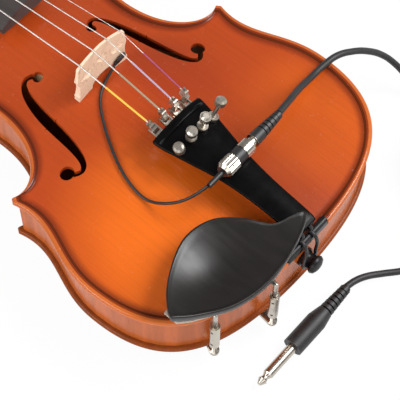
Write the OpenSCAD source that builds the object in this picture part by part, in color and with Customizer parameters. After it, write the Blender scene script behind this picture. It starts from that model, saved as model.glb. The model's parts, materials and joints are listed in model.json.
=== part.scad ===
// Full-size violin lying on its back, with a bridge pickup, its inline connector and a coiled lead.
// Millimetres. +X is the treble side, +Y runs to the scroll, +Z is up from the floor.
// Modules are written with y = 0 at the tail edge of the body and moved to the shared origin at the end.

/* [Body] */
// Length of the body without the button
body_length = 356; // [340:1:365]
// Width across the upper bouts
upper_width = 168; // [158:1:176]
// Width across the waist
waist_width = 110; // [102:1:118]
// Width across the lower bouts
lower_width = 208; // [196:1:218]
// Height of the rib garland
rib_height = 32; // [28:0.5:36]
// Thickness of a rib
rib_thickness = 1.2; // [1:0.1:1.5]
// Thickness of the plates at their edge
edge_thickness = 4; // [3.6:0.1:4.4]
// How far the plates stand out past the ribs
overhang = 3; // [2.5:0.1:3.4]
// Height of the belly arch above the ribs
belly_arch = 16; // [14:0.5:18]
// Height of the back arch below the ribs
back_arch = 15; // [13:0.5:17]
// Thickness of the plates inside the edge
plate_thickness = 3; // [2.4:0.1:3.2]
// Width of the purfling inlay
purfling_width = 1.2; // [1:0.1:1.4]
// Distance of the purfling from the edge
purfling_inset = 4; // [3.7:0.1:4.4]
// Width of the neck block
neck_block_width = 54; // [50:1:58]
// Depth of the neck block
neck_block_depth = 16; // [14:1:18]
// Width of the end block
end_block_width = 50; // [46:1:54]
// Depth of the end block
end_block_depth = 15; // [13:1:17]

/* [Sound holes] */
// Half distance between the upper eyes
upper_eye_x = 23.3; // [21:0.1:25]
// Half distance between the lower eyes
lower_eye_x = 57.5; // [54:0.1:60]
// Radius of the upper eyes
upper_eye_r = 3.2; // [2.8:0.1:3.5]
// Radius of the lower eyes
lower_eye_r = 4.4; // [4:0.1:4.8]
// Width of the stem at its middle
stem_width = 6.4; // [5.5:0.1:7]

/* [Bridge and strings] */
// Distance of the bridge from the tail edge
bridge_y = 157; // [150:1:165]
// Height of the bridge above the belly
bridge_height = 33.5; // [31:0.5:35]
// Width across the feet of the bridge
bridge_width = 41.5; // [40:0.5:43]
// Thickness of the bridge at its feet
bridge_foot_t = 4.4; // [4:0.1:5]
// Thickness of the bridge at its top
bridge_top_t = 1.5; // [1.2:0.1:2]
// Spacing of the strings on the bridge
bridge_spacing = 11.2; // [10.8:0.1:11.8]
// Spacing of the strings on the nut
nut_spacing = 5.5; // [5.2:0.1:5.8]
// Diameter of the G string
string_g_d = 0.82; // [0.7:0.02:0.9]
// Diameter of the D string
string_d_d = 0.76; // [0.6:0.02:0.9]
// Diameter of the A string
string_a_d = 0.68; // [0.6:0.02:0.8]
// Diameter of the E string
string_e_d = 0.4; // [0.3:0.02:0.5]

/* [Neck] */
// Length of the fingerboard
board_length = 270; // [262:1:276]
// Width of the fingerboard at the nut
board_nut_width = 24; // [23:0.5:25]
// Width of the fingerboard at its free end
board_end_width = 42.5; // [41:0.5:44]
// Radius of the fingerboard's top
board_radius = 42; // [40:1:44]
// Length of the neck from the body edge to the nut
neck_length = 130; // [126:1:133]
// Thickness of the neck wood at the nut
neck_thickness = 13; // [12:0.5:14]
// Radius of the scroll
scroll_radius = 24; // [22:0.5:25]
// Width of the scroll across its eyes
scroll_width = 41; // [38:0.5:44]
// Radius of a peg where it enters the pegbox
peg_radius = 4.1; // [3.8:0.1:4.3]
// Length of a peg's shank past its collar
peg_shank = 31; // [30:0.5:34]
// Radial clearance of the pegs in their holes
peg_clearance = 0.05; // [0.03:0.01:0.09]

/* [Tailpiece] */
// Length of the tailpiece
tail_length = 98; // [94:1:102]
// Width of the tailpiece at its front
tail_front_width = 40; // [38:0.5:42]
// Width of the tailpiece at its end
tail_end_width = 17; // [16:0.5:19]
// Radius of the tailpiece's arched top
tail_radius = 45; // [42:1:48]
// Wall of the tailpiece
tail_wall = 3.2; // [2.8:0.1:3.4]
// Radius of the tail gut
gut_radius = 1.1; // [0.9:0.1:1.3]
// Radius of the endpin's head
endpin_radius = 6.1; // [5.8:0.1:6.6]
// How far the endpin stands out of the ribs
endpin_reach = 11.5; // [11:0.5:13]
// Width of the saddle
saddle_width = 35; // [33:0.5:37]

/* [Fine tuners] */
// Radius of a tuner's screw
screw_radius = 1.25; // [1.1:0.05:1.3]
// Running clearance of the screws
screw_clearance = 0.08; // [0.05:0.01:0.1]
// Radius of a tuner's knob
knob_radius = 3.4; // [3.2:0.1:3.6]
// Height of a tuner's knob
knob_height = 4.2; // [3.8:0.1:4.6]
// Gap under the G knob
knob_gap_g = 1.6; // [1:0.1:3]
// Gap under the D knob
knob_gap_d = 5; // [4:0.1:6]
// Gap under the A knob
knob_gap_a = 6.5; // [5:0.1:8]
// Gap under the E knob
knob_gap_e = 11; // [9:0.1:12]

/* [Chin rest] */
// Radius of the hollow of the cup
cup_radius = 110; // [100:1:120]
// Height of the lowest point of the cup above the belly edge
cup_height = 15; // [14:0.5:18]
// Wall of the cup
cup_wall = 6; // [5:0.5:7]
// Thickness of the cork under the rest
cork_thickness = 2.2; // [1.8:0.1:2.6]
// Radius of the clamp barrels
barrel_radius = 3; // [2.7:0.1:3.2]
// Length of the clamp barrels
barrel_length = 25; // [24:0.5:27]
// Radius of the clamp legs
leg_radius = 1.5; // [1.3:0.1:1.6]
// Running clearance of the clamp legs in the barrels
leg_clearance = 0.08; // [0.05:0.01:0.1]

/* [Pickup and lead] */
// Radius of the pickup's thin wire
wire_radius = 0.9; // [0.7:0.1:1]
// Radius of the lead
lead_radius = 2.1; // [1.9:0.1:2.2]
// Radius of the connector's shell
socket_radius = 5.2; // [4.9:0.1:5.4]
// Radius of the jack plug's shank
jack_radius = 3.175; // [3.1:0.025:3.25]
// Length of the jack plug's shank
jack_length = 30.5; // [29:0.5:32]
// Radius of the jack plug's sleeve
jack_body_radius = 6.2; // [5.8:0.1:6.6]

/* [Hidden] */
$fn = 48;

// Gap left between glued faces, so that they touch without cutting into each other
glue = 0.05;
// Colours of the CAD view
VARNISH = [0.72, 0.32, 0.10];
SPRUCE = [0.86, 0.70, 0.45];
EBONY = [0.08, 0.07, 0.07];
MAPLE = [0.90, 0.76, 0.52];
NICKEL = [0.75, 0.75, 0.76];
STEEL = [0.62, 0.60, 0.62];
CORK = [0.66, 0.62, 0.56];

// Levels
z_back = back_arch;
z_top = z_back + rib_height;
z_edge = z_top + edge_thickness;
flute = edge_thickness - 1;

// Half widths and the stations where they are reached
lw = lower_width / 2;
ww = waist_width / 2;
uw = upper_width / 2;
lower_y = body_length * 0.208;
low_corner = [lw - 12.2, body_length * 0.4055];
waist_y = body_length * 0.54;
up_corner = [uw - 7, body_length * 0.645];
upper_y = body_length * 0.815;
arch_mid = body_length * 0.52;

function clamp01(t) = min(1, max(0, t));
function ease(a, b, t) = a + (b - a) * (1 - cos(180 * clamp01(t))) / 2;
function unit(v) = v / norm(v);
function bez(a, b, c, d, n) = [for (i = [0 : n - 1]) let (t = i / n, u = 1 - t)
  u * u * u * a + 3 * u * u * t * b + 3 * u * t * t * c + t * t * t * d];
function blend(a, b, c, d, t) =
  0.5 * (2 * b + (c - a) * t + (2 * a - 5 * b + 4 * c - d) * t * t + (3 * b - a - 3 * c + d) * t * t * t);
// Curve through a list of points, open or closed
function through(p, n) = let (m = len(p) - 1) [
  for (i = [0 : m - 1]) for (k = [0 : n - 1])
    blend(p[max(i - 1, 0)], p[i], p[i + 1], p[min(i + 2, m)], k / n),
  p[m]];
function around(p, n) = let (m = len(p)) [
  for (i = [0 : m - 1]) for (k = [0 : n - 1])
    blend(p[(i + m - 1) % m], p[i], p[(i + 1) % m], p[(i + 2) % m], k / n)];

// Edge of the treble lower bout from the tail to its widest place
BOUT = [[0, 0], [lw * 0.74, 0], [lw, lower_y * 0.31], [lw, lower_y]];
// Half outline of the plates on the treble side, from the tail to the top
HALF = concat(
  bez(BOUT[0], BOUT[1], BOUT[2], BOUT[3], 12),
  bez([lw, lower_y], [lw, lower_y + 30], low_corner + [-7.3, -27], low_corner, 9),
  [low_corner],
  bez(low_corner + [-1.8, 2.6], low_corner + [-15.5, -4.4], [ww, low_corner.y + 13.5], [ww, waist_y], 8),
  bez([ww, waist_y], [ww, waist_y + 21], up_corner + [-14, 1.5], up_corner + [-1.6, -2.6], 7),
  [up_corner + [-1.6, -2.6]],
  bez(up_corner, up_corner + [-5, 20], [uw, upper_y - 28], [uw, upper_y], 8),
  bez([uw, upper_y], [uw, upper_y + 40], [uw * 0.6, body_length], [0, body_length], 10),
  [[0, body_length]]);
M = len(HALF) - 1;
N = 2 * M;
function flip(p) = [-p.x, p.y];
// Point on the bass edge of the lower bout, and the turn that points out of the body there
function bass_edge(t) = let (u = 1 - t)
  flip(u * u * u * BOUT[0] + 3 * u * u * t * BOUT[1] + 3 * u * t * t * BOUT[2] + t * t * t * BOUT[3]);
function bass_turn(t) = let (d = bass_edge(t + 0.001) - bass_edge(t - 0.001)) atan2(d.x, -d.y);
OUT = [for (i = [0 : N - 1]) i <= M ? HALF[i] : flip(HALF[N - i])];
// Height on the middle line that each outline point looks to
SPINE = [[0, 0.135], [12, 0.2], [21, 0.265], [22, 0.272], [30, 0.53], [37, 0.745], [38, 0.755], [46, 0.8],
  [M, 0.86]];
function spine(i) = [0, body_length * lookup(i <= M ? i : N - i, SPINE)];
function reach(i) = norm(OUT[i] - spine(i));
function inset(i, d) = OUT[i] + unit(spine(i) - OUT[i]) * d;

// Arch of a plate from 0 at the fluting to 1 at the crown
function arch_w(y) = y < waist_y
  ? ease(lw - 9, ww - 7, (y - lower_y) / (waist_y - lower_y))
  : ease(ww - 7, uw - 9, (y - waist_y) / (upper_y - waist_y));
function along(y) = pow(sin(90 * (y < arch_mid
  ? clamp01((y - 7) / (arch_mid - 7))
  : clamp01((body_length - 7 - y) / (body_length - 7 - arch_mid)))), 0.9);
function across(x, y) = pow(sin(90 * clamp01(1 - abs(x) / arch_w(y))), 1.6);
function arched(x, y, h) = flute + (h - flute) * along(y) * across(x, y);
function hollowed(x, y, h) = max(0, arched(x, y, h) - plate_thickness);
function belly(x, y) = z_top + arched(x, y, belly_arch);

// One ring of a plate: at a distance from the edge, or part of the way to the middle line
function edge_ring(d, z) = [for (i = [0 : N - 1]) let (p = inset(i, d)) [p.x, p.y, z]];
function deep(i, u) = let (d = purfling_inset + 8) inset(i, d + (reach(i) - d) * u);
function top_ring(u, h) = [for (i = [0 : N - 1]) let (p = deep(i, u)) [p.x, p.y, arched(p.x, p.y, h)]];
function low_ring(u, h) = [for (i = [0 : N - 1]) let (p = deep(i, u)) [p.x, p.y, hollowed(p.x, p.y, h)]];
function top_spine(h) = [for (i = [0 : M]) let (p = spine(i)) [0, p.y, arched(0, p.y, h)]];
function low_spine(h) = [for (i = [0 : M]) let (p = spine(i)) [0, p.y, hollowed(0, p.y, h)]];

// Closed shell of a plate: from the inner middle line out to the edge and back in over the arch
module plate(h) {
  e = edge_thickness;
  q = purfling_inset;
  rings = concat(
    [for (u = [0.88, 0.7, 0.5, 0.3, 0.14, 0.02]) low_ring(u, h)],
    [edge_ring(q + 5, 0), edge_ring(0.9, 0), edge_ring(0, 0.9), edge_ring(0, e - 1.1),
      edge_ring(0.8, e - 0.2), edge_ring(2, e), edge_ring(q - 0.5, e - 0.4), edge_ring(q, e - 0.6),
      edge_ring(q, e - 1.9), edge_ring(q + purfling_width, e - 1.9), edge_ring(q + purfling_width, e - 0.9),
      [for (i = [0 : N - 1]) let (p = inset(i, q + 3)) [p.x, p.y, arched(p.x, p.y, h)]]],
    [for (u = [0.02, 0.14, 0.3, 0.5, 0.7, 0.88]) top_ring(u, h)]);
  k = len(rings);
  points = concat(low_spine(h), [for (r = rings) each r], top_spine(h));
  first = M + 1;
  last = first + k * N;
  function mid(i) = i <= M ? i : N - i;
  function at(r, i) = r < 0 ? mid(i % N) : r >= k ? last + mid(i % N) : first + r * N + i % N;
  polyhedron(points, [for (r = [-1 : k - 1]) for (i = [0 : N - 1])
    each [[at(r, i), at(r + 1, i), at(r + 1, i + 1)], [at(r, i), at(r + 1, i + 1), at(r, i + 1)]]
  ]);
}

// Inlaid strip that fills the groove near the edge of a plate
module inlay() {
  e = edge_thickness;
  a = purfling_inset + 0.06;
  b = purfling_inset + purfling_width - 0.06;
  rings = [edge_ring(a, e - 1.8), edge_ring(a, e - 0.65), edge_ring(b, e - 0.9), edge_ring(b, e - 1.8)];
  polyhedron([for (r = rings) each r], [for (r = [0 : 3]) for (i = [0 : N - 1])
    let (s = (r + 1) % 4, j = (i + 1) % N)
    each [[r * N + i, s * N + i, s * N + j], [r * N + i, s * N + j, r * N + j]]]);
}

// Closed skin over a list of rings with flat ends
module skin(rings) {
  n = len(rings[0]);
  k = len(rings);
  polyhedron([for (r = rings) each r], concat(
    [[for (i = [0 : n - 1]) i], [for (i = [n - 1 : -1 : 0]) (k - 1) * n + i]],
    [for (r = [0 : k - 2]) for (i = [0 : n - 1]) let (j = (i + 1) % n)
      each [[r * n + i, (r + 1) * n + j, r * n + j], [r * n + i, (r + 1) * n + i, (r + 1) * n + j]]]));
}

// Round cord along a list of points
function ahead(p, i) = unit(p[min(i + 1, len(p) - 1)] - p[max(i - 1, 0)]);
function hoop(c, t, r, n, up) = let (s = unit(cross(up, t)), u = cross(t, s))
  [for (k = [0 : n - 1]) let (a = 360 * k / n) c + r * (cos(a) * s + sin(a) * u)];
module cord(p, r, n, up = [0, 0, 1]) {
  skin([for (i = [0 : len(p) - 1]) hoop(p[i], ahead(p, i), r, n, up)]);
}

// Round rod between two points
module rod(a, b, r, r2 = undef) {
  v = b - a;
  translate(a)
    rotate([0, acos(v.z / norm(v)), atan2(v.y, v.x)])
      cylinder(h = norm(v), r1 = r, r2 = is_undef(r2) ? r : r2);
}

module knurled(r, h, n, groove) {
  difference() {
    cylinder(h = h, r = r);
    for (i = [0 : n - 1])
      rotate(360 * i / n)
        translate([r + groove * 0.45, 0, -1])
          cylinder(h = h + 2, r = groove, $fn = 6);
  }
}

// Sound hole seen from above, on the treble side
upper_eye = [upper_eye_x, bridge_y + 32];
lower_eye = [lower_eye_x, bridge_y - 23.5];
STEM = concat(
  bez(upper_eye + [1.2, 2.6], upper_eye + [10, 11.5], upper_eye + [14.5, -7], upper_eye + [17, -26], 8),
  bez(upper_eye + [17, -26], upper_eye + [19.5, -45], lower_eye + [-12, -14.5], lower_eye + [-1.6, -3.6], 8),
  [lower_eye + [-1.6, -3.6]]);
function stem_side(i, s) = let (m = len(STEM) - 1, t = ahead(STEM, i), w = sin(180 * i / m))
  STEM[i] + s * [t.y, -t.x] * (0.6 + (stem_width / 2 - 0.6) * w * w);
module sound_hole() {
  m = len(STEM) - 1;
  translate(upper_eye) circle(upper_eye_r);
  translate(lower_eye) circle(lower_eye_r);
  polygon(concat([for (i = [0 : m]) stem_side(i, 1)], [for (i = [m : -1 : 0]) stem_side(i, -1)]));
  translate([upper_eye.x + 17, bridge_y + 5.5])
    rotate(8)
      square([stem_width + 2.4, 1.4], center = true);
}

module outline() {
  polygon(OUT);
}
module inside(d) {
  offset(delta = -d) outline();
}

// Notch in the belly edge that holds the saddle
saddle_depth = 6;
module saddle_box(c) {
  translate([-saddle_width / 2 - c, -4, z_top - 1])
    cube([saddle_width + 2 * c, 4 + saddle_depth + c, 20]);
}

module top_plate() {
  color(VARNISH) difference() {
    translate([0, 0, z_top]) plate(belly_arch);
    translate([0, 0, z_top - 1]) linear_extrude(40) {
      sound_hole();
      mirror([1, 0]) sound_hole();
    }
    saddle_box(glue);
  }
}

button_radius = 11;
module back_plate() {
  color(VARNISH) union() {
    translate([0, 0, z_back]) mirror([0, 0, 1]) plate(back_arch);
    intersection() {
      translate([0, body_length + 1, z_back - edge_thickness + 0.2])
        cylinder(h = edge_thickness - 0.2, r = button_radius);
      translate([-20, body_length - 2, 0]) cube([40, 40, 40]);
    }
  }
}

// Sector of the plan between the corner lines
corner_low = [0, body_length * 0.33];
corner_up = [0, body_length * 0.72];
function line_at(a, b, x) = a + (b - a) * x / b.x;
module waist_sector(c) {
  a = line_at(corner_low, low_corner + [0, 0.8], 130);
  b = line_at(corner_up, up_corner + [0, -1], 130);
  polygon([corner_low + [0, c], a + [0, c], b - [0, c], corner_up - [0, c]]);
}
module rib_ring() {
  difference() {
    inside(overhang);
    inside(overhang + rib_thickness);
  }
}
endpin_hole = 4.1;
z_pin = z_back + rib_height / 2;
module pin_bore(c) {
  translate([0, -10, z_pin]) rotate([-90, 0, 0]) cylinder(h = 60, r = endpin_hole + c);
}
module rib_band() {
  translate([0, 0, z_back + glue]) linear_extrude(rib_height - 2 * glue) children();
}
module upper_ribs() {
  color(VARNISH) rib_band() difference() {
    rib_ring();
    waist_sector(-glue);
    mirror([1, 0]) waist_sector(-glue);
    translate([-200, -50]) square([400, 50 + waist_y]);
    translate([-0.05, body_length - 20]) square([0.1, 30]);
  }
}
module waist_ribs() {
  color(VARNISH) rib_band() intersection() {
    rib_ring();
    union() {
      waist_sector(glue);
      mirror([1, 0]) waist_sector(glue);
    }
  }
}
module lower_ribs() {
  color(VARNISH) difference() {
    rib_band() difference() {
      rib_ring();
      waist_sector(-glue);
      mirror([1, 0]) waist_sector(-glue);
      translate([-200, waist_y]) square([400, 400]);
      translate([-0.05, -10]) square([0.1, 30]);
    }
    pin_bore(glue);
  }
}

// Blocks and linings inside the ribs
inner = overhang + rib_thickness + glue;
block_reach = 24;
module corner_block_plan(c) {
  intersection() {
    inside(inner);
    for (s = [-1, 1]) {
      translate([s * low_corner.x, low_corner.y]) circle(block_reach + c);
      translate([s * up_corner.x, up_corner.y]) circle(block_reach - 4 + c);
    }
  }
}
module neck_block_plan(c) {
  intersection() {
    inside(inner);
    translate([-neck_block_width / 2 - c, body_length - inner - neck_block_depth - c])
      square([neck_block_width + 2 * c, neck_block_depth + 2 * inner]);
  }
}
module end_block_plan(c) {
  intersection() {
    inside(inner);
    translate([-end_block_width / 2 - c, -inner])
      square([end_block_width + 2 * c, 2 * inner + end_block_depth + c]);
  }
}
module corner_blocks() {
  color(SPRUCE) rib_band() corner_block_plan(0);
}
module neck_block() {
  color(SPRUCE) rib_band() neck_block_plan(0);
}
module end_block() {
  color(SPRUCE) difference() {
    rib_band() end_block_plan(0);
    pin_bore(glue);
  }
}
lining_height = 7;
lining_width = 2;
module lining_plan() {
  difference() {
    inside(inner);
    inside(inner + lining_width);
    for (s = [-1, 1]) {
      translate([s * low_corner.x, low_corner.y]) circle(block_reach + 0.3);
      translate([s * up_corner.x, up_corner.y]) circle(block_reach - 3.7);
    }
    translate([-27.3, body_length - 30]) square([54.6, 40]);
    translate([-25.3, -10]) square([50.6, 40]);
  }
}
module linings() {
  color(SPRUCE) {
    translate([0, 0, z_back + glue]) linear_extrude(lining_height) lining_plan();
    translate([0, 0, z_top - glue - lining_height]) linear_extrude(lining_height) lining_plan();
  }
}

bar_x = -17;
bar_half = 2.75;
bar_from = body_length * 0.13;
bar_to = body_length * 0.87;
function under(x, y) = z_top + hollowed(x, y, belly_arch);
module bass_bar() {
  ys = [for (k = [0 : 12]) bar_from + (bar_to - bar_from) * k / 12];
  color(SPRUCE)
    translate([bar_x - bar_half, 0, 0])
      rotate([90, 0, 90])
        linear_extrude(2 * bar_half)
          polygon(concat(
            [for (y = ys) [y, under(bar_x - bar_half, y) - 0.35]],
            [for (k = [12 : -1 : 0]) let (t = sin(15 * k))
              [ys[k], under(bar_x - bar_half, ys[k]) - 3.5 - 8 * t]]));
}

post_x = 17;
post_y = bridge_y - 5;
post_radius = 3.1;
module sound_post() {
  floor_z = z_back - hollowed(post_x + post_radius, post_y, back_arch) + 0.35;
  color(SPRUCE)
    translate([post_x, post_y, floor_z])
      cylinder(h = under(post_x + post_radius, post_y) - 0.35 - floor_z, r = post_radius);
}

module purfling() {
  color(EBONY) {
    difference() {
      translate([0, 0, z_top]) inlay();
      saddle_box(glue);
    }
    translate([0, 0, z_back]) mirror([0, 0, 1]) inlay();
  }
}

// Fingerboard plane: the glue face falls from the bridge to the nut
nut_y = body_length + neck_length;
board_tilt = 6.3;
board_rise = 0.74;
board_nut_t = 6.2;
board_projection = belly(0, bridge_y) + bridge_height - 6.5;
board_top_slope = tan(board_tilt + board_rise);
function board_top(y) = board_projection - board_top_slope * (y - bridge_y);
z_nut_glue = board_top(nut_y) - board_nut_t;
function glue_z(y) = z_nut_glue + (nut_y - y) * tan(board_tilt);
module board_frame() {
  translate([0, nut_y, z_nut_glue]) rotate([-board_tilt, 0, 0]) children();
}
module board_round(lift) {
  translate([0, 12, board_nut_t + lift - board_radius])
    rotate([90 - board_rise, 0, 0])
      cylinder(h = board_length + 40, r = board_radius, $fn = 96);
}
function board_half(y) = board_nut_width / 2 + (board_end_width - board_nut_width) / 2 * y / board_length;
module fingerboard() {
  color(EBONY) board_frame() intersection() {
    linear_extrude(16) polygon([[-board_half(0), -glue], [board_half(0), -glue],
      [board_half(board_length), -board_length], [-board_half(board_length), -board_length]]);
    board_round(0);
  }
}
nut_depth = 5.5;
nut_rise = 0.7;
module nut() {
  color(EBONY) board_frame() intersection() {
    translate([-board_nut_width / 2, 0, glue]) cube([board_nut_width, nut_depth, 12]);
    board_round(nut_rise);
  }
}

// Neck shaft, heel, pegbox and scroll in one piece of wood
function shaft_ring(y) = let (w = board_half(y) - 0.3, d = neck_thickness + 2.4 * y / neck_length)
  concat([[w, -y, -glue], [w, -y, -3]],
    [for (k = [1 : 9]) let (a = 18 * k) [w * cos(a), -y, -3 - (d - 3) * sin(a)]],
    [[-w, -y, -3], [-w, -y, -glue]]);
heel_face = body_length + glue;
scroll_y = nut_y + 86;
scroll_z = scroll_radius + 0.2;
scroll_far = scroll_y + scroll_radius;
peg_pitch = 14.5;
PEG_Y = [for (k = [0 : 3]) nut_y + 15 + peg_pitch * k];
function peg_z(y) = z_nut_glue - 7.5 - 0.235 * (y - nut_y - 15);
box_end = scroll_y - 20;
module side_cut(points, half) {
  translate([-half, 0, 0]) rotate([90, 0, 90]) linear_extrude(2 * half) polygon(points);
}
module heel() {
  face = heel_face;
  far = body_length + 39;
  bottom = z_back + glue;
  top = neck_thickness + 2.2;
  intersection() {
    side_cut(concat([[face, bottom]],
      bez([face + 11.5, bottom], [face + 14.5, bottom + 20], [face + 20, glue_z(far) - top],
        [far, glue_z(far) - top], 8),
      [[far, glue_z(far) - top], [far, glue_z(far) - 1], [face, glue_z(face) - 1]]), 17);
    translate([0, body_length + 100, 0]) rotate([90, 0, 0]) linear_extrude(200)
      polygon([[-10.6, z_back], [10.6, z_back], [16, z_top], [16, z_top + 20], [-16, z_top + 20],
        [-16, z_top]]);
  }
  translate([-12, body_length - overhang + 0.2, z_back + 0.1])
    cube([24, overhang + 2, rib_height - 0.2]);
}
module pegbox_solid() {
  lip = nut_y + nut_depth + 0.9;
  intersection() {
    side_cut([[nut_y - 3, z_nut_glue - neck_thickness + 0.6], [nut_y + 10, z_nut_glue - neck_thickness - 4.4],
      [nut_y + 38, z_nut_glue - neck_thickness - 14], [nut_y + 60, 7.5], [scroll_y - 8, 1.6], [scroll_y, 12],
      [scroll_y - 12, scroll_z + 12], [box_end, peg_z(box_end) + 9.5], [lip, peg_z(lip) + 9.5],
      [lip, z_nut_glue - 0.8], [nut_y - 3, z_nut_glue + 0.2]], 14);
    linear_extrude(90)
      polygon([[-12, nut_y - 4], [12, nut_y - 4], [8.6, scroll_y + 6], [-8.6, scroll_y + 6]]);
  }
}
module pegbox_hollow() {
  a = nut_y + nut_depth + 1.2;
  b = box_end - 4;
  intersection() {
    side_cut([[a, z_nut_glue - 0.9], [a + 4, peg_z(a + 4) - 5.2], [b, peg_z(b) - 5], [b, 90], [a, 90]], 20);
    linear_extrude(90) polygon([[-8.8, a - 1], [8.8, a - 1], [4.9, b + 1], [-4.9, b + 1]]);
  }
}
module volute() {
  translate([0, scroll_y, scroll_z]) rotate([0, 90, 0]) {
    translate([0, 0, -7.2]) cylinder(h = 14.4, r = scroll_radius);
    translate([1.5, 1, 0]) cylinder(h = scroll_width * 0.68, r = scroll_radius * 0.74, center = true);
    translate([0.5, -0.5, 0]) cylinder(h = scroll_width * 0.86, r = scroll_radius * 0.48, center = true);
    cylinder(h = scroll_width, r = scroll_radius * 0.24, center = true);
  }
}
function peg_side(k) = k % 2 == 0 ? -1 : 1;
peg_taper = 0.03;
module peg_cone(k, c) {
  h = peg_shank + 4;
  translate([peg_side(k) * 13.5, PEG_Y[k], peg_z(PEG_Y[k])])
    rotate([0, -90 * peg_side(k), 0])
      translate([0, 0, -4])
        cylinder(h = h, r1 = peg_radius + 4 * peg_taper + c, r2 = peg_radius - peg_shank * peg_taper + c);
}
module neck() {
  color(VARNISH) difference() {
    union() {
      board_frame() skin([for (k = [0 : 8]) shaft_ring((neck_length + 0.2) * (8 - k) / 8)]);
      heel();
      pegbox_solid();
      volute();
    }
    pegbox_hollow();
    for (k = [0 : 3]) peg_cone(k, peg_clearance);
    translate([-20, body_length - 20, z_top - glue]) cube([40, 20, edge_thickness + 2 * glue]);
  }
}

// Turned peg with a lens-shaped head; the collar stands clear of the pegbox wall
head_radius = 10.5;
head_lens = 15;
module peg(k) {
  lens = sqrt(head_lens * head_lens - head_radius * head_radius);
  color(EBONY) union() {
    peg_cone(k, 0);
    translate([peg_side(k) * 13.5, PEG_Y[k], peg_z(PEG_Y[k])]) rotate([0, 90 * peg_side(k), 0]) {
      cylinder(h = 3, r = 6.2);
      translate([0, 0, 2.9]) cylinder(h = 3, r1 = 4.2, r2 = 3.4);
      translate([0, 0, 5 + head_radius]) intersection() {
        translate([0, lens, 0]) sphere(head_lens);
        translate([0, -lens, 0]) sphere(head_lens);
      }
      translate([0, 0, 6 + 2 * head_radius]) sphere(1.7);
    }
  }
}
module peg_g() { peg(0); }
module peg_e() { peg(1); }
module peg_d() { peg(2); }
module peg_a() { peg(3); }

// Saddle, endpin, tailpiece and gut
saddle_rise = 2.6;
saddle_face = 1.2;
saddle_round = 2.2;
module saddle() {
  color(EBONY) union() {
    translate([-saddle_width / 2, saddle_face, z_top + glue])
      cube([saddle_width, saddle_depth - saddle_face, edge_thickness + 0.6]);
    translate([-saddle_width / 2, saddle_face + saddle_round, z_edge + saddle_rise - saddle_round])
      rotate([0, 90, 0])
        cylinder(h = saddle_width, r = saddle_round);
  }
}
endpin_neck = 4.4;
// Where the groove for the gut starts and ends, from the ribs
endpin_groove = [2.9, 6];
module endpin() {
  face = overhang - glue;
  color(EBONY)
    translate([0, face, z_pin])
      rotate([90, 0, 0])
        rotate_extrude()
          polygon([[0, -18], [3.6, -18], [endpin_hole, 0], [endpin_radius, 0],
            [endpin_radius, endpin_groove[0] - 1.3], [endpin_neck, endpin_groove[0]],
            [endpin_neck, endpin_groove[1]], [endpin_radius - 0.6, endpin_groove[1] + 1.1],
            [endpin_radius, endpin_groove[1] + 2.4], [endpin_radius - 0.8, endpin_reach - 1.4],
            [endpin_radius - 3, endpin_reach - 0.3], [0, endpin_reach]]);
}

tail_y = 3;
tail_z = z_edge + 15.5;
tail_tilt = 8.5;
screw_at = tail_length - 15;
STRING_X = [-13.8, -4.6, 4.6, 13.8];
function roll(k) = asin(STRING_X[k] / tail_radius);
// World place of a point given in the frame of tuner k
function tail_point(k, p) = let (
  a = roll(k),
  x = (tail_radius + p.z) * sin(a) + p.x * cos(a),
  h = (tail_radius + p.z) * cos(a) - tail_radius - p.x * sin(a),
  y = screw_at + p.y)
  [x, tail_y + y * cos(tail_tilt) - h * sin(tail_tilt), tail_z + y * sin(tail_tilt) + h * cos(tail_tilt)];
module tail_frame() {
  translate([0, tail_y, tail_z]) rotate([tail_tilt, 0, 0]) children();
}
module tuner_frame(k) {
  tail_frame()
    translate([0, screw_at, -tail_radius])
      rotate([0, roll(k), 0])
        translate([0, 0, tail_radius])
          children();
}
tube_radius = 2.5;
TAIL_SIDE = through([[tail_end_width / 2 - 1.5, 0], [tail_end_width / 2, 3],
  [tail_end_width / 2 + 1, tail_length * 0.33],
  [tail_front_width * 0.29, tail_length * 0.54], [tail_front_width * 0.38, tail_length * 0.72],
  [tail_front_width * 0.475, tail_length * 0.9], [tail_front_width / 2, tail_length * 0.965],
  [tail_front_width / 2 - 1, tail_length]], 3);
module tail_round(drop) {
  translate([0, tail_length + 5, -tail_radius])
    rotate([90, 0, 0])
      cylinder(h = tail_length + 10, r = tail_radius - drop, $fn = 96);
}
module tailpiece() {
  n = len(TAIL_SIDE) - 1;
  color(EBONY) difference() {
    tail_frame() union() {
      difference() {
        intersection() {
          translate([0, 0, -14]) linear_extrude(20)
            polygon(concat(TAIL_SIDE, [for (i = [n : -1 : 0]) flip(TAIL_SIDE[i])]));
          tail_round(0);
        }
        difference() {
          tail_round(tail_wall);
          translate([-30, -10, -60]) cube([60, 22, 80]);
        }
        translate([-30, -10, -30]) cube([60, 22, 30 - 9]);
        for (s = [-1, 1]) translate([s * gut_x, -1, -5]) rotate([-90, 0, 0])
          cylinder(h = 30, r = gut_radius + 0.1);
      }
      intersection() {
        translate([0, tail_length - 4.5, -tail_radius]) rotate([90, 0, 0]) difference() {
          cylinder(h = 2.4, r = tail_radius + 1.5, center = true, $fn = 96);
          cylinder(h = 4, r = tail_radius - 1, center = true, $fn = 96);
        }
        translate([-tail_front_width * 0.46, 0, -20]) cube([tail_front_width * 0.92, 200, 40]);
      }
    }
    for (k = [0 : 3]) tuner_frame(k) translate([0, 0, -8]) cylinder(h = 12, r = tube_radius + 0.1);
  }
}

gut_x = 3.6;
// Place of the gut where it bends over the saddle's rounded edge
function over_saddle(x, a) = let (r = saddle_round + gut_radius + 0.35)
  [x, saddle_face + saddle_round + r * cos(a), z_edge + saddle_rise - saddle_round + r * sin(a)];
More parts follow.
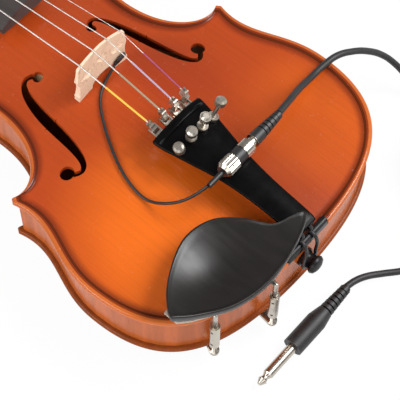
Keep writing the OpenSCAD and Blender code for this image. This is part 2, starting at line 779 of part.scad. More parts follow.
// Gut from the tailpiece over the saddle and round the neck of the endpin
module tail_gut() {
  a = endpin_neck + gut_radius + 0.05;
  y_pin = overhang - (endpin_groove[0] + endpin_groove[1]) / 2;
  path = concat(
    [let (p = tail_y + 20) [gut_x, p * cos(tail_tilt), tail_z - 5 + 20 * sin(tail_tilt)],
      [gut_x, tail_y, tail_z - 5.2],
      over_saddle(gut_x + 0.6, 90),
      over_saddle(gut_x + 0.8, 135),
      [gut_x + 1, saddle_face - 1.2 - gut_radius, z_edge + saddle_rise - 2],
      [a - 0.2, y_pin, z_pin + 3]],
    [for (k = [0 : 3]) [a * cos(22.5 * k), y_pin, z_pin - a * sin(22.5 * k)]]);
  n = len(path) - 1;
  loop = concat(path, [[0, y_pin, z_pin - a]], [for (k = [n : -1 : 0]) [-path[k].x, path[k].y, path[k].z]]);
  color(EBONY) cord(loop, gut_radius, 8, unit([0, 1, -1]));
}

// Bridge, drawn from the front with its feet cut to the belly
bridge_z = belly(0, bridge_y);
bridge_crown = bridge_z + bridge_height;
bridge_arc = 42;
function bridge_top(x) = bridge_crown - bridge_arc + sqrt(bridge_arc * bridge_arc - x * x)
  - (x > 0 ? x * 0.12 : -x * 0.03);
foot_gap = 0.18;
function sole(x) = belly(x, bridge_y + bridge_foot_t) + foot_gap;
module bridge_front() {
  w = bridge_width / 2;
  half = [for (k = [0 : 8]) k * 2.4];
  difference() {
    polygon(concat(
      [for (k = [0 : 4]) let (x = w - k * 2.9) [x, sole(x)]],
      [for (k = [0 : 6]) let (a = 30 * k) [(w - 11.6) * cos(a), bridge_z + 1.5 + (w - 13) * sin(a)]],
      [for (k = [4 : -1 : 0]) let (x = w - k * 2.9) [-x, sole(x)]],
      [[-w, bridge_z + 1.6], [-w + 5, bridge_z + 6], [-w + 6.4, bridge_z + 10.5], [-w - 0.2, bridge_z + 15.5],
        [-w + 0.6, bridge_z + 20]],
      [for (k = [8 : -1 : 1]) [-half[k], bridge_top(-half[k])]],
      [for (k = [0 : 8]) [half[k], bridge_top(half[k])]],
      [[w - 0.6, bridge_z + 20], [w + 0.2, bridge_z + 15.5], [w - 6.4, bridge_z + 10.5],
        [w - 5, bridge_z + 6], [w, bridge_z + 1.6]]));
    for (s = [-1, 1]) {
      translate([s * 1.7, bridge_z + 21]) circle(2.2);
      translate([s * (w - 9.5), bridge_z + 17]) circle(3.1);
      translate([s * (w - 6.2), bridge_z + 16.2]) square([6, 2.4], center = true);
    }
    translate([0, bridge_z + 19.6]) rotate(45) square(3.4, center = true);
  }
}
module bridge() {
  color(MAPLE) difference() {
    translate([0, bridge_y + bridge_foot_t, 0]) rotate([90, 0, 0])
      linear_extrude(bridge_foot_t) bridge_front();
    translate([-40, bridge_y + bridge_foot_t, bridge_z])
      rotate([atan((bridge_foot_t - bridge_top_t) / bridge_height), 0, 0])
        translate([0, 0, -5])
          cube([80, 20, 60]);
  }
}

// Strings from the tuner hooks over the bridge and the nut into the pegbox
STRING_R = [string_g_d, string_d_d, string_a_d, string_e_d] / 2;
STRING_PEG = [0, 2, 3, 1];
function bridge_point(k) = let (x = bridge_spacing * (k - 1.5))
  [x, bridge_y + bridge_top_t / 2, bridge_top(x) + STRING_R[k] + 0.25];
function nut_point(k, back) = let (x = nut_spacing * (k - 1.5), y = nut_y + back, r = board_radius)
  [x, y, board_top(y) + nut_rise - r + sqrt(r * r - x * x) + STRING_R[k] + 0.25];
function peg_point(k) = let (j = STRING_PEG[k], y = PEG_Y[j])
  [nut_spacing * 0.55 * (k - 1.5), y, peg_z(y) + peg_radius - 0.3 + STRING_R[k] + 0.35];
hook_y = 26;
hook_z = 1.7;
module string(k) {
  a = tail_point(k, [0, hook_y - 2.4, hook_z + 0.75]);
  r = STRING_R[k];
  b = bridge_point(k);
  color(STEEL) cord([a, b, nut_point(k, 0), nut_point(k, nut_depth + 1.1), peg_point(k)], r, 8);
}
module string_g() { string(0); }
module string_d() { string(1); }
module string_a() { string(2); }
module string_e() { string(3); }

// Fine tuners. In their frame y points to the bridge and z out of the tailpiece.
KNOB_GAP = [knob_gap_g, knob_gap_d, knob_gap_a, knob_gap_e];
nut_top = 2.7;
nut_radius = 3.4;
arm_top = -8.2;
pivot_y = 20;
pivot_z = -4.4;
pivot_radius = 0.9;
module tuner_screw(k) {
  color(NICKEL) tuner_frame(k)
    translate([0, 0, arm_top + 0.25])
      cylinder(h = nut_top + KNOB_GAP[k] + 3 - arm_top - 0.25, r = screw_radius);
}
module tuner_knob(k) {
  color(NICKEL) tuner_frame(k) translate([0, 0, nut_top + KNOB_GAP[k]]) difference() {
    union() {
      knurled(knob_radius, knob_height - 1, 18, 0.45);
      translate([0, 0, knob_height - 1.1]) cylinder(h = 1.1, r1 = knob_radius - 0.3, r2 = knob_radius - 1.6);
    }
    translate([0, 0, -1]) cylinder(h = 4.1, r = screw_radius + 0.05);
  }
}
module tuner_lever(k) {
  color(NICKEL) tuner_frame(k) {
    difference() {
      union() {
        translate([-1.7, -2.5, arm_top - 1.5]) cube([3.4, pivot_y + 4, 1.5]);
        translate([-1.7, pivot_y - 1.5, arm_top - 1.5]) cube([3.4, 3, hook_z - arm_top + 0.6]);
        translate([-1.7, pivot_y - 1.5, hook_z - 2]) cube([3.4, hook_y - pivot_y - 0.4, 1.2]);
        translate([-1.7, hook_y - 3.4, hook_z - 2]) cube([3.4, 1.5, 3.6]);
        translate([0, pivot_y, pivot_z]) rotate([0, 90, 0])
          cylinder(h = 5.7, r = pivot_radius, center = true);
      }
      translate([-0.8, hook_y - 4, hook_z - 0.6]) cube([1.6, 5, 5]);
    }
    translate([0, hook_y - 4.7, hook_z + 0.62]) rotate([0, 90, 0]) cylinder(h = 3.2, r = 1.3, center = true);
  }
}
module tuner_screw_g() { tuner_screw(0); }
module tuner_screw_d() { tuner_screw(1); }
module tuner_screw_a() { tuner_screw(2); }
module tuner_screw_e() { tuner_screw(3); }
module tuner_knob_g() { tuner_knob(0); }
module tuner_knob_d() { tuner_knob(1); }
module tuner_knob_a() { tuner_knob(2); }
module tuner_knob_e() { tuner_knob(3); }
module tuner_lever_g() { tuner_lever(0); }
module tuner_lever_d() { tuner_lever(1); }
module tuner_lever_a() { tuner_lever(2); }
module tuner_lever_e() { tuner_lever(3); }

module tuner_brackets() {
  color(NICKEL) for (k = [0 : 3]) tuner_frame(k) difference() {
    union() {
      translate([0, 0, -5.4]) cylinder(h = 5.4 + nut_top - 0.3, r = tube_radius);
      translate([-2.9, -4, -5.6]) cube([5.8, pivot_y + 1.6, 1.3]);
      for (s = [-1, 1]) translate([s * 2.475 - 0.425, pivot_y - 4, -5.6]) cube([0.85, 6.5, 2.2]);
    }
    translate([0, 0, -10]) cylinder(h = 20, r = screw_radius + screw_clearance);
    translate([0, pivot_y, pivot_z]) rotate([0, 90, 0])
      cylinder(h = 9, r = pivot_radius + 0.06, center = true);
  }
}
module tuner_nuts() {
  color(NICKEL) for (k = [0 : 3]) tuner_frame(k) difference() {
    translate([0, 0, 0.45]) knurled(nut_radius, nut_top - 0.45, 18, 0.45);
    translate([0, 0, -1]) cylinder(h = 8, r = tube_radius + glue);
  }
}

// Chin rest: a shell cut from the outline by two spheres, on a foot that follows the belly edge
rest_gap = 0.8;
REST = bass_edge(0.3);
CUP = around([for (p = [[-37.1, 16.7], [-21.6, 31.7], [3.4, 43], [23.4, 39.7], [35.9, 26.7], [43.4, 11.2],
  [53.4, 4.7], [57.7, 0.2], [51.4, -4.5], [32.4, -8.9], [12.4, -9.6], [-7.6, -5.1], [-23.6, 3.9],
  [-34.1, 11.2]]) REST + p], 4);
cup_centre = [REST.x + 8.4, REST.y + 15.7, z_edge + cup_height + cup_radius];
z_cork = z_edge + glue;
foot_z = z_cork + cork_thickness;
FOOT_X = [REST.x - 30.6, REST.x + 29.4];
foot_reach = 26.7;
module foot_plan() {
  intersection() {
    difference() {
      inside(0.4);
      inside(11);
    }
    translate([FOOT_X[0], -edge_thickness])
      square([FOOT_X[1] - FOOT_X[0], REST.y + foot_reach + edge_thickness]);
  }
}
module chinrest() {
  color(EBONY) difference() {
    union() {
      difference() {
        intersection() {
          translate([0, 0, z_edge + 4]) linear_extrude(60) polygon(CUP);
          translate(cup_centre) sphere(cup_radius + cup_wall, $fn = 96);
        }
        translate(cup_centre) sphere(cup_radius, $fn = 96);
      }
      difference() {
        translate([0, 0, foot_z + glue]) linear_extrude(40) foot_plan();
        translate(cup_centre) sphere(cup_radius + cup_wall / 2, $fn = 96);
      }
    }
    for (j = [0, 1]) clamp_frame(j) translate([5, 0, leg_z]) rotate([0, -90, 0])
      cylinder(h = 5 + leg_inset + 0.2, r = leg_radius + glue);
    tail_frame() intersection() {
      tail_round(-rest_gap);
      translate([-tail_end_width, -5, -20]) cube([2 * tail_end_width, 40, 40]);
    }
  }
}
module chinrest_cork() {
  color(CORK) translate([0, 0, z_cork]) linear_extrude(cork_thickness) foot_plan();
}

// Clamps: x points out of the bass edge at each place, from the edge itself
CLAMP_T = [0.404, 0.168];
CLAMP_OUT = [2.5, 5.8];
leg_inset = 8;
leg_z = z_edge + cork_thickness + 4.2;
barrel_z = z_back + (rib_height - barrel_length) / 2;
module clamp_frame(j) {
  p = bass_edge(CLAMP_T[j]);
  translate([p.x, p.y, 0]) rotate(bass_turn(CLAMP_T[j])) children();
}
module clamp_legs() {
  color(NICKEL) for (j = [0, 1]) clamp_frame(j) {
    translate([0, 0, leg_z]) rod([-leg_inset, 0, 0], [CLAMP_OUT[j], 0, 0], leg_radius);
    translate([CLAMP_OUT[j], 0, leg_z]) sphere(leg_radius);
    rod([CLAMP_OUT[j], 0, barrel_z + barrel_length * 0.62], [CLAMP_OUT[j], 0, leg_z], leg_radius);
  }
}
module clamp_barrel(j) {
  color(NICKEL) clamp_frame(j) translate([CLAMP_OUT[j], 0, barrel_z]) difference() {
    cylinder(h = barrel_length, r = barrel_radius);
    translate([0, 0, -1]) cylinder(h = barrel_length + 2, r = leg_radius + leg_clearance);
    for (z = [0.18, 0.82]) translate([0, 0, barrel_length * z]) rotate([90, 0, 30])
      cylinder(h = 4 * barrel_radius, r = 0.9, center = true);
  }
}
module clamp_foot(j) {
  pad = z_back - edge_thickness - 0.35;
  x = CLAMP_OUT[j];
  color(NICKEL) clamp_frame(j) {
    rod([x, 0, pad - 1.6], [x, 0, barrel_z + barrel_length * 0.38], leg_radius);
    translate([0, 0, pad - 2.4]) linear_extrude(2.4) hull() {
      translate([x, 0]) circle(barrel_radius);
      translate([-9, -barrel_radius]) square([2, 2 * barrel_radius]);
    }
  }
}
module clamp_barrel_1() { clamp_barrel(0); }
module clamp_barrel_2() { clamp_barrel(1); }
module clamp_foot_1() { clamp_foot(0); }
module clamp_foot_2() { clamp_foot(1); }

// Pickup plate in the treble wing of the bridge
pickup_x = bridge_width / 2 - 5;
module pickup() {
  color(EBONY) {
    translate([pickup_x - 5, bridge_y - 2.6, bridge_z + 4.5]) cube([9.5, 2.4, 7]);
    translate([pickup_x - 4.2, bridge_y - 1.4, bridge_z + 5.6]) rotate([0, -90, 0]) cylinder(h = 3, r = 1.1);
  }
}
function on_belly(p) = [p.x, p.y, belly(p.x, p.y) + wire_radius + 0.35];
socket_tilt = 5;
socket_turn = 2.3;
socket_x = -11;
socket_y = 56.6;
// The shell touches the tailpiece on its crown, past which it dips to the treble side
socket_at = [socket_x, socket_y, tail_z + (socket_y - tail_y) * tan(tail_tilt)
  + (socket_radius + 0.3) / cos(tail_tilt) - socket_x * sin(socket_tilt)];
module socket_frame() {
  translate(socket_at) rotate([0, 90 + socket_tilt, socket_turn]) children();
}
function socket_point(h) = socket_at + h * [cos(socket_tilt) * cos(socket_turn),
  cos(socket_tilt) * sin(socket_turn), -sin(socket_tilt)];
sleeve_length = 12;
WIRE = concat(
  [[pickup_x - 7.6, bridge_y - 1.5, bridge_z + 5.6], [pickup_x - 11, bridge_y - 2.5, bridge_z + 4.5]],
  [for (p = [[-2, 154], [-9.5, 151], [-15, 146.5], [-21, 138.5], [-27, 130], [-33.5, 118.5], [-38, 109],
    [-41, 100], [-43, 90], [-42.2, 82.5]]) on_belly(p)],
  [[-41, 75.5, 63], [-38, 69, 66], [-33.5, 63.5, 71], [-28.5, 59, 76.5], socket_point(-sleeve_length - 0.3)]);
module pickup_wire() {
  color(EBONY) cord(through(WIRE, 3), wire_radius, 8);
}
module pickup_socket() {
  color(NICKEL) socket_frame() {
    translate([0, 0, -sleeve_length]) cylinder(h = sleeve_length + 0.5, r = 1.6);
    translate([0, 0, 0]) cylinder(h = 2, r1 = 3.4, r2 = socket_radius);
    translate([0, 0, 2]) knurled(socket_radius, 8.5, 24, 0.5);
    translate([0, 0, 10.4]) cylinder(h = 7.1, r = socket_radius - 0.3);
  }
}
module phono_plug() {
  color(NICKEL) socket_frame() {
    translate([0, 0, 17.7]) cylinder(h = 6.5, r = socket_radius - 0.1);
    translate([0, 0, 24]) cylinder(h = 4.2, r = 3.1);
    translate([0, 0, 28]) cylinder(h = 8, r1 = 4.3, r2 = 4);
    for (k = [0 : 4]) translate([0, 0, 36.8 + 3.2 * k]) cylinder(h = 2.3, r = 3.8 - 0.25 * k);
    translate([0, 0, 35.5]) cylinder(h = 17, r = 2.6);
  }
}
boot_end = 52.9;

// Lead: from the plug over the belly edge to the floor, a coil, and on to the jack plug
floor_z = lead_radius + 0.1;
NEAR = [socket_point(boot_end), [56, 61.5, 71.2], [70, 65, 63.5], [84, 67, 57], [97, 67.5, 54.6],
  [108, 66.4, 53], [119, 63, 48.5], [130, 58.5, 41], [139, 53, 32], [145, 46, 22], [148, 36, 12], [149, 24, 5],
  [149, 12, floor_z], [150, 0, floor_z], [151.2, -12, floor_z]];
coil_turns = 10.25;
coil_layers = 4;
coil_mid = 23;
coil_pitch = 5;
coil_step = 2 * lead_radius + 0.9;
coil_at = [122, -24];
module lead_near() {
  color(EBONY) cord(through(concat(NEAR, [COIL[0] + [0, 0.4, 0]]), 3), lead_radius, 8);
}
// Four layers that spiral in and out in turn; each climb lies in the half turn where the spiral reverses
layer_turns = coil_turns / coil_layers;
function coil_radius(t) = let (m = t % (2 * layer_turns), u = m <= layer_turns ? m : 2 * layer_turns - m)
  coil_mid + coil_pitch * (layer_turns / 2 - u);
function coil_climb(t, j) = j >= coil_layers ? 0
  : clamp01(2 * (t - j * layer_turns) + 0.5) + coil_climb(t, j + 1);
COIL = [for (k = [0 : 24 * coil_turns]) let (t = k / 24, a = -360 * t, r = coil_radius(t))
  [coil_at.x + r * cos(a), coil_at.y + r * sin(a), floor_z + coil_step * coil_climb(t, 1)]];
coil_gap = min([for (i = [0 : len(COIL) - 1]) for (j = [i + 12 : len(COIL) - 1]) norm(COIL[i] - COIL[j])])
  - 2 * lead_radius;
echo(coil_gap = coil_gap);
module lead_coil() {
  color(EBONY) cord(COIL, lead_radius, 6);
}
coil_out = COIL[len(COIL) - 1];
jack_y = -22.6;
jack_z = jack_body_radius + 0.1;
jack_face = -39.4;
boot_from = 11;
FAR = [coil_out - [0.4, 0, 0], [110, -53.4, coil_out.z - 2.5], [99, -53, 11], [88, -52, 5.5],
  [76, -50.5, floor_z], [64, -48.8, floor_z], [52, -46, floor_z], [43, -40.5, 2.6],
  [33, -32.6, 3.6], [25, -27, 4.8], [18, -24, 5.8], [boot_from + 0.3, jack_y, jack_z]];
module lead_far() {
  color(EBONY) cord(through(FAR, 3), lead_radius, 8);
}
module jack_frame() {
  translate([jack_face, jack_y, jack_z]) rotate([0, 90, 0]) children();
}
module jack_body() {
  length = boot_from - jack_face;
  color(EBONY) jack_frame() {
    cylinder(h = 22, r = jack_body_radius);
    translate([0, 0, 21.9]) cylinder(h = 8, r1 = jack_body_radius, r2 = 4.6);
    translate([0, 0, 29]) cylinder(h = length - 29, r = 2.7);
    for (k = [0 : 5]) translate([0, 0, 31 + 3.2 * k]) cylinder(h = 2.2, r = 4.3 - 0.2 * k);
  }
}
module jack_shank() {
  h = jack_length;
  color(NICKEL) jack_frame() rotate([180, 0, 0]) rotate_extrude()
    polygon([[0, glue], [jack_radius, glue], [jack_radius, h - 8.5], [jack_radius - 0.5, h - 7.8],
      [jack_radius - 1.3, h - 6.2], [jack_radius - 1.2, h - 5], [jack_radius - 0.3, h - 3.6],
      [1.2, h - 0.4], [0, h]]);
}

// Shared origin: bottom centre of the object without its lead
mid_y = (scroll_far + overhang - glue - endpin_reach) / 2;
translate([0, -mid_y, 0]) {
  top_plate();
  back_plate();
  upper_ribs();
  waist_ribs();
  lower_ribs();
  linings();
  corner_blocks();
  neck_block();
  end_block();
  bass_bar();
  sound_post();
  purfling();
  neck();
  fingerboard();
  nut();
  peg_g();
  peg_d();
  peg_a();
  peg_e();
  saddle();
  endpin();
  bridge();
  tailpiece();
  tail_gut();
  string_g();
  string_d();
  string_a();
  string_e();
  tuner_screw_g();
  tuner_screw_d();
  tuner_screw_a();
  tuner_screw_e();
  tuner_knob_g();
  tuner_knob_d();
  tuner_knob_a();
  tuner_knob_e();
  tuner_lever_g();
  tuner_lever_d();
  tuner_lever_a();
  tuner_lever_e();
  tuner_brackets();
  tuner_nuts();
  chinrest();
  chinrest_cork();
  clamp_legs();
  clamp_barrel_1();
  clamp_barrel_2();
  clamp_foot_1();
  clamp_foot_2();
  pickup();
  pickup_wire();
  pickup_socket();
  phono_plug();
  lead_near();
  lead_coil();
  lead_far();
  jack_body();
  jack_shank();
}
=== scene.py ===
"""Looks for a violin with a pickup, a lead and a plug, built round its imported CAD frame."""

import json
import math

import bmesh
import bpy
from mathutils import Matrix, Vector

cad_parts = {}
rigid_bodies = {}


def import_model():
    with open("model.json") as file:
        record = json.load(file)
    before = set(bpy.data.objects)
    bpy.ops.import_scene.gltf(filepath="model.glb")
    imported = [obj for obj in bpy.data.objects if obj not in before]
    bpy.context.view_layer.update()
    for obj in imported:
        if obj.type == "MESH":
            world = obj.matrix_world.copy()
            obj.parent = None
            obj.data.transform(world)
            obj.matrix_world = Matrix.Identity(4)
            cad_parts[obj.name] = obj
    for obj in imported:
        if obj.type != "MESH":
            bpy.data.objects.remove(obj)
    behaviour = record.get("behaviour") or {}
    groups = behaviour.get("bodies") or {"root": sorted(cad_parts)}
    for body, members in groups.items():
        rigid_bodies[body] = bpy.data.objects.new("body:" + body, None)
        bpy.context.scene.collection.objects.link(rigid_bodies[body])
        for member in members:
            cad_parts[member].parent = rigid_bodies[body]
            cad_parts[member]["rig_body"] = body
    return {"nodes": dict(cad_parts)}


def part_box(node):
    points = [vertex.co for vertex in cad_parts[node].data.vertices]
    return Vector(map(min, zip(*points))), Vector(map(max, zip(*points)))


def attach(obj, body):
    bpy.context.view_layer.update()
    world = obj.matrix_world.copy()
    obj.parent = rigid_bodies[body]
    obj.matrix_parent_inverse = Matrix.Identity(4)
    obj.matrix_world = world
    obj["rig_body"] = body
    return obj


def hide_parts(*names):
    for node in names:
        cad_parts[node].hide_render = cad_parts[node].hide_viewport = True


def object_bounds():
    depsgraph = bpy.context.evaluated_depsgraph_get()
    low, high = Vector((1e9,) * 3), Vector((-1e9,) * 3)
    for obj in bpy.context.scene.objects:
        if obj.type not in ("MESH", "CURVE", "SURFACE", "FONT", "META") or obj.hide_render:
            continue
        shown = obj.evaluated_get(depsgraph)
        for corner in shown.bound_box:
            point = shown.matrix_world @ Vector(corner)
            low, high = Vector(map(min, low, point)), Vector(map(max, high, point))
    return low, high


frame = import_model()

bl_info = {
    "name": "Violin with pickup",
    "version": (1, 0, 0),
    "blender": (4, 5, 0),
    "location": "View3D > Sidebar > Violin",
    "description": "Dresses the packed violin with carved plates, fittings, strings and a lead",
    "category": "Add Mesh",
}

# Millimetres of the part's own drawing, from the tail edge of the belly and the floor
MM = 0.001
CAD_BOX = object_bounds()
PLATE_LOW, PLATE_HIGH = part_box("top_plate")
ROOT = "violin"

# Plan and arching of the plates
LENGTH = (PLATE_HIGH.y - PLATE_LOW.y) / MM
LOWER_HALF = PLATE_HIGH.x / MM
WAIST_HALF = 55
UPPER_HALF = 84
LOWER_Y = 0.208 * LENGTH
WAIST_Y = 0.54 * LENGTH
UPPER_Y = 0.815 * LENGTH
BACK_Z = 15
TOP_Z = 47
BELLY_ARCH = 16
BACK_ARCH = 15
ARCH_Y = 0.52 * LENGTH
ARCH_FROM = 7
FLUTE = 3
FLUTE_WIDE = 9
WAIST_FLUTE = 7
PLATE_WALL = 3
LIP_FROM = 2
LIP_RUN = 5
EDGE_SHADE = 12

# Sound holes: the middles and radii of the treble hole's eyes
UPPER_EYE = Vector((23.3, 189))
LOWER_EYE = Vector((57.5, 133.5))
UPPER_EYE_RADIUS = 3.2
LOWER_EYE_RADIUS = 4.4
NICK_AT = Vector((40.3, 162.5))
NICK_TURN = 0.14
NICK = ((-4.4, -0.2), (0, -0.9), (4.4, -0.2), (4.4, 0.2), (0, 0.9), (-4.4, 0.2))

# Bridge, fingerboard and pegs
BRIDGE_Y = 157
BRIDGE_Z = 62.64
BRIDGE_HEIGHT = 33.5
BRIDGE_FOOT = 4.4
BRIDGE_TOP = 1.5
CROWN_RADIUS = 42
NUT_Y = 486
NUT_GLUE_Z = 42.812
NUT_FALL = math.tan(math.radians(7.04))
BOARD_TILT = math.radians(6.3)
PEG_FROM = NUT_Y + 15
PEG_DROP = 7.5
PEG_SLOPE = 0.235
PEG_PITCH = 14.5
SCROLL_Y = 572
SCROLL_Z = 24.2

# Tailpiece, saddle, endpin and the connector on the tailpiece
TAIL_AT = (3, 66.5)
TAIL_TILT = math.radians(8.5)
TAIL_RADIUS = 45
TAIL_WALL = 3.2
SADDLE_WIDTH = 35
SADDLE_DEPTH = 6
SADDLE_GAP = 0.05
PIN_Y = -1.45
PIN_Z = 31
PIN_LOOP = 5.55
SOCKET_AT = (-11, 56.6)
SOCKET_RADIUS = 5.2
SOCKET_GAP = 0.3
SOCKET_TILT = math.radians(5)
SOCKET_TURN = math.radians(2.3)
SOCKET_RUN = (math.cos(SOCKET_TILT) * math.cos(SOCKET_TURN), math.cos(SOCKET_TILT) * math.sin(SOCKET_TURN),
              -math.sin(SOCKET_TILT))
JACK_AT = (-39.4, -22.6, 6.3)

# Turn of the camera about X, Y and Z, in degrees
CAMERA_TURN = (28.488, -0.303, -49.080)


def at(x, y, z):
    """A point of the part's drawing in the frame, in metres."""
    return Vector((x * MM, y * MM + PLATE_LOW.y, z * MM))


def clamp01(t):
    return min(1.0, max(0.0, t))


def smooth(t):
    """Goes from 0 to 1 with a level start and end."""
    t = clamp01(t)
    return t * t * (3 - 2 * t)


def ease(a, b, t):
    """Goes from a to b with a level start and end."""
    return a + (b - a) * (1 - math.cos(math.pi * clamp01(t))) / 2


def blend(a, b, t):
    """Goes from a to b evenly."""
    return a + (b - a) * t


def bezier(a, b, c, d, t):
    u = 1 - t
    return u ** 3 * a + 3 * u * u * t * b + 3 * u * t * t * c + t ** 3 * d


def through(points, fine, closed=False):
    """Points on a smooth curve through a list of points."""
    points = [Vector(p) for p in points]
    count = len(points)
    made = []
    for i in range(count if closed else count - 1):
        if closed:
            a, b, c, d = (points[(i + k) % count] for k in (-1, 0, 1, 2))
        else:
            a, b, c, d = (points[min(max(i + k, 0), count - 1)] for k in (-1, 0, 1, 2))
        for k in range(fine):
            made.append(bezier(b, b + (c - a) / 6, c - (d - b) / 6, c, k / fine))
    return made if closed else made + [points[-1]]


def flipped(points):
    """The same points on the other side of the middle line."""
    return [(-p[0], *p[1:]) for p in points]


def oval(middle, across, up, count):
    """A ring of points round a middle, from its two half axes."""
    turns = (2 * math.pi * k / count for k in range(count))
    return [middle + across * math.cos(a) + up * math.sin(a) for a in turns]


def run_length(points):
    return sum((b - a).length for a, b in zip(points, points[1:]))


def round_drop(x, radius):
    """How far a round face lies under its crest at a distance from the middle; never above 0."""
    return math.sqrt(radius * radius - x * x) - radius


def relaxed(points, rounds):
    """A line of points with its small kinks drawn out; its ends stay."""
    line = [p.copy() for p in points]
    for _ in range(rounds):
        line[1:-1] = [(a + 2 * b + c) / 4 for a, b, c in zip(line, line[1:], line[2:])]
    return line


def length(name, description, default):
    return bpy.props.FloatProperty(name=name, description=description, default=default, unit="LENGTH")


def colour(name, description, default):
    return bpy.props.FloatVectorProperty(
        name=name, description=description, default=default, subtype="COLOR", min=0, max=1)


def level(name, description, default):
    return bpy.props.FloatProperty(name=name, description=description, default=default)


class ViolinShape(bpy.types.PropertyGroup):
    """Sizes of the forms that the looks add to the CAD frame."""

    outline_steps: bpy.props.IntProperty(
        name="Outline steps", description="Points between two stations of the plan", default=4, min=1, max=8)
    edge_lip: length("Edge lip", "Rise of the plate's rounded edge over its fluting", 0.001)
    edge_radius: length("Edge radius", "Radius of the plates' rounded edge", 0.002)
    purfling_inset: length("Purfling inset", "Distance of the purfling from the edge", 0.004)
    purfling_width: length("Purfling width", "Width of the three strips", 0.0014)
    silk_length: length("Silk length", "Coloured thread at each string's tail end", 0.031)
    lead_radius: length("Lead radius", "Half the lead's diameter", 0.0021)
    wire_radius: length("Wire radius", "Half the pickup wire's diameter", 0.0009)


class ViolinColours(bpy.types.PropertyGroup):
    """Base colours of the finishes."""

    orange: colour("Orange", "Varnish over most of the belly", (0.42, 0.058, 0.009))
    # Amber also paints the pools of light on the lower bout
    amber: colour("Amber", "Varnish in the middle of the lower bout", (0.72, 0.135, 0.009))
    # Red also paints the shadow by the bridge and the shade in the fluting
    red: colour("Red", "Varnish toward the waist and the edges", (0.27, 0.028, 0.008))
    maple: colour("Maple", "Varnished maple of the ribs, back and neck", (0.46, 0.105, 0.022))
    bare_maple: colour("Bare maple", "Unvarnished maple of the bridge", (0.88, 0.66, 0.47))
    ebony: colour("Ebony", "Black fittings", (0.006, 0.005, 0.005))
    nickel: colour("Nickel", "Bright metal", (0.56, 0.51, 0.44))


class ViolinStage(bpy.types.PropertyGroup):
    """Camera and light."""

    camera: bpy.props.FloatVectorProperty(
        name="Camera", description="Place of the camera", subtype="XYZ", unit="LENGTH",
        default=(-0.3422, -0.5026, 0.8302))
    turn: bpy.props.FloatVectorProperty(
        name="Turn", description="Turn of the camera about X, Y and Z", subtype="EULER", unit="ROTATION",
        default=[math.radians(angle) for angle in CAMERA_TURN])
    lens: level("Lens", "Focal length in millimetres", 139.39)
    key: level("Key", "Power of the large soft lamp on the treble side", 16.0)
    side: level("Side", "Power of the large soft lamp on the bass side", 13.0)
    window: level("Window", "Power of the small bright lamp", 7.0)
    bounce: level("Bounce", "Power of the low soft lamp", 4.0)
    fill: level("Fill", "Strength of the plain surroundings", 0.3)


class Socket:
    """A value in a node tree that takes part in Python arithmetic."""

    def __init__(self, shader, socket):
        self.shader = shader
        self.socket = socket

    def _math(self, operation, first, second):
        return self.shader.node("Math", {"operation": operation}, {0: first, 1: second})

    def __add__(self, other):
        return self._math("ADD", self, other)

    __radd__ = __add__

    def __sub__(self, other):
        return self._math("SUBTRACT", self, other)

    def __rsub__(self, other):
        return self._math("SUBTRACT", other, self)

    def __mul__(self, other):
        return self._math("MULTIPLY", self, other)

    __rmul__ = __mul__

    def __truediv__(self, other):
        return self._math("DIVIDE", self, other)


class Shader:
    """The node tree of a material or a world, with what its patterns read."""

    def __init__(self, name, store=None):
        self.block = (bpy.data.materials if store is None else store).new(name)
        self.block.use_nodes = True
        self.tree = self.block.node_tree
        self.tree.nodes.clear()
        self.coords = self.node("TexCoord", output="Object")
        split = self.node("SeparateXYZ", sockets={"Vector": self.coords})
        self.x, self.y = (Socket(self, s) for s in split.socket.node.outputs[:2])

    def node(self, kind, settings=None, sockets=None, output=0):
        """Adds a node: its settings first, then the values or links of its sockets."""
        made = self.tree.nodes.new("ShaderNode" + kind)
        for name, value in (settings or {}).items():
            setattr(made, name, value)
        for name, value in (sockets or {}).items():
            if isinstance(value, Socket):
                self.tree.links.new(value.socket, made.inputs[name])
                continue
            place = made.inputs[name]
            if hasattr(place.default_value, "__len__") and len(value) < len(place.default_value):
                value = (*value, 1)
            place.default_value = value
        return Socket(self, made.outputs[output]) if made.outputs else None

    def noise(self, factors, detail, roughness=0.5, distortion=0.0):
        """Noise from 0 to 1 whose cells are one unit of the scaled coordinates."""
        scaled = self.node("VectorMath", {"operation": "MULTIPLY"}, {0: self.coords, 1: factors})
        return self.node("TexNoise", sockets={
            "Vector": scaled, "Scale": 1.0, "Detail": detail, "Roughness": roughness,
            "Distortion": distortion})

    def wave(self, turns):
        """Turns of a ribbon or thread along a string, as a sine."""
        return self.node("Math", {"operation": "SINE"}, {0: self.y * turns})

    def step(self, value, low, high):
        """A smooth step from 0 at low to 1 at high."""
        return self.node("MapRange", {"interpolation_type": "SMOOTHSTEP"}, {
            "Value": value, "From Min": low, "From Max": high})

    def mix(self, factor, a, b):
        """A colour between two colours."""
        return self.node("Mix", {"data_type": "RGBA"}, {0: factor, 6: a, 7: b}, 2)

    def bump(self, height, distance, strength):
        return self.node("Bump", sockets={"Height": height, "Distance": distance, "Strength": strength})

    def along(self, origin, direction):
        """Distance along a line, in millimetres."""
        moved = self.node("VectorMath", {"operation": "SUBTRACT"}, {0: self.coords, 1: origin})
        return self.node("VectorMath", {"operation": "DOT_PRODUCT"}, {0: moved, 1: direction}, 1) / MM

    def across(self):
        """The share that a piece's own rings carry, such as the place across a strip."""
        return self.node("Attribute", {"attribute_name": "across"}, output="Fac")

    def blob(self, x, y, wide, long, reach):
        """A soft spot on the belly that falls from 1 at its middle to 0."""
        middle = at(x, y, 0)
        run_x = (self.x - middle.x) / (wide * MM)
        run_y = (self.y - middle.y) / (long * MM)
        return 1 - self.step(run_x * run_x + run_y * run_y, 0.0, reach)

    def end(self, surface, kind="Material"):
        """Ends the tree with its output."""
        self.node("Output" + kind, sockets={"Surface": surface})
        return self.block

    def done(self, sockets):
        """Ends the material with a Principled surface."""
        return self.end(self.node("BsdfPrincipled", sockets=sockets))


def shade(colour, factor):
    return tuple(c * factor for c in colour)


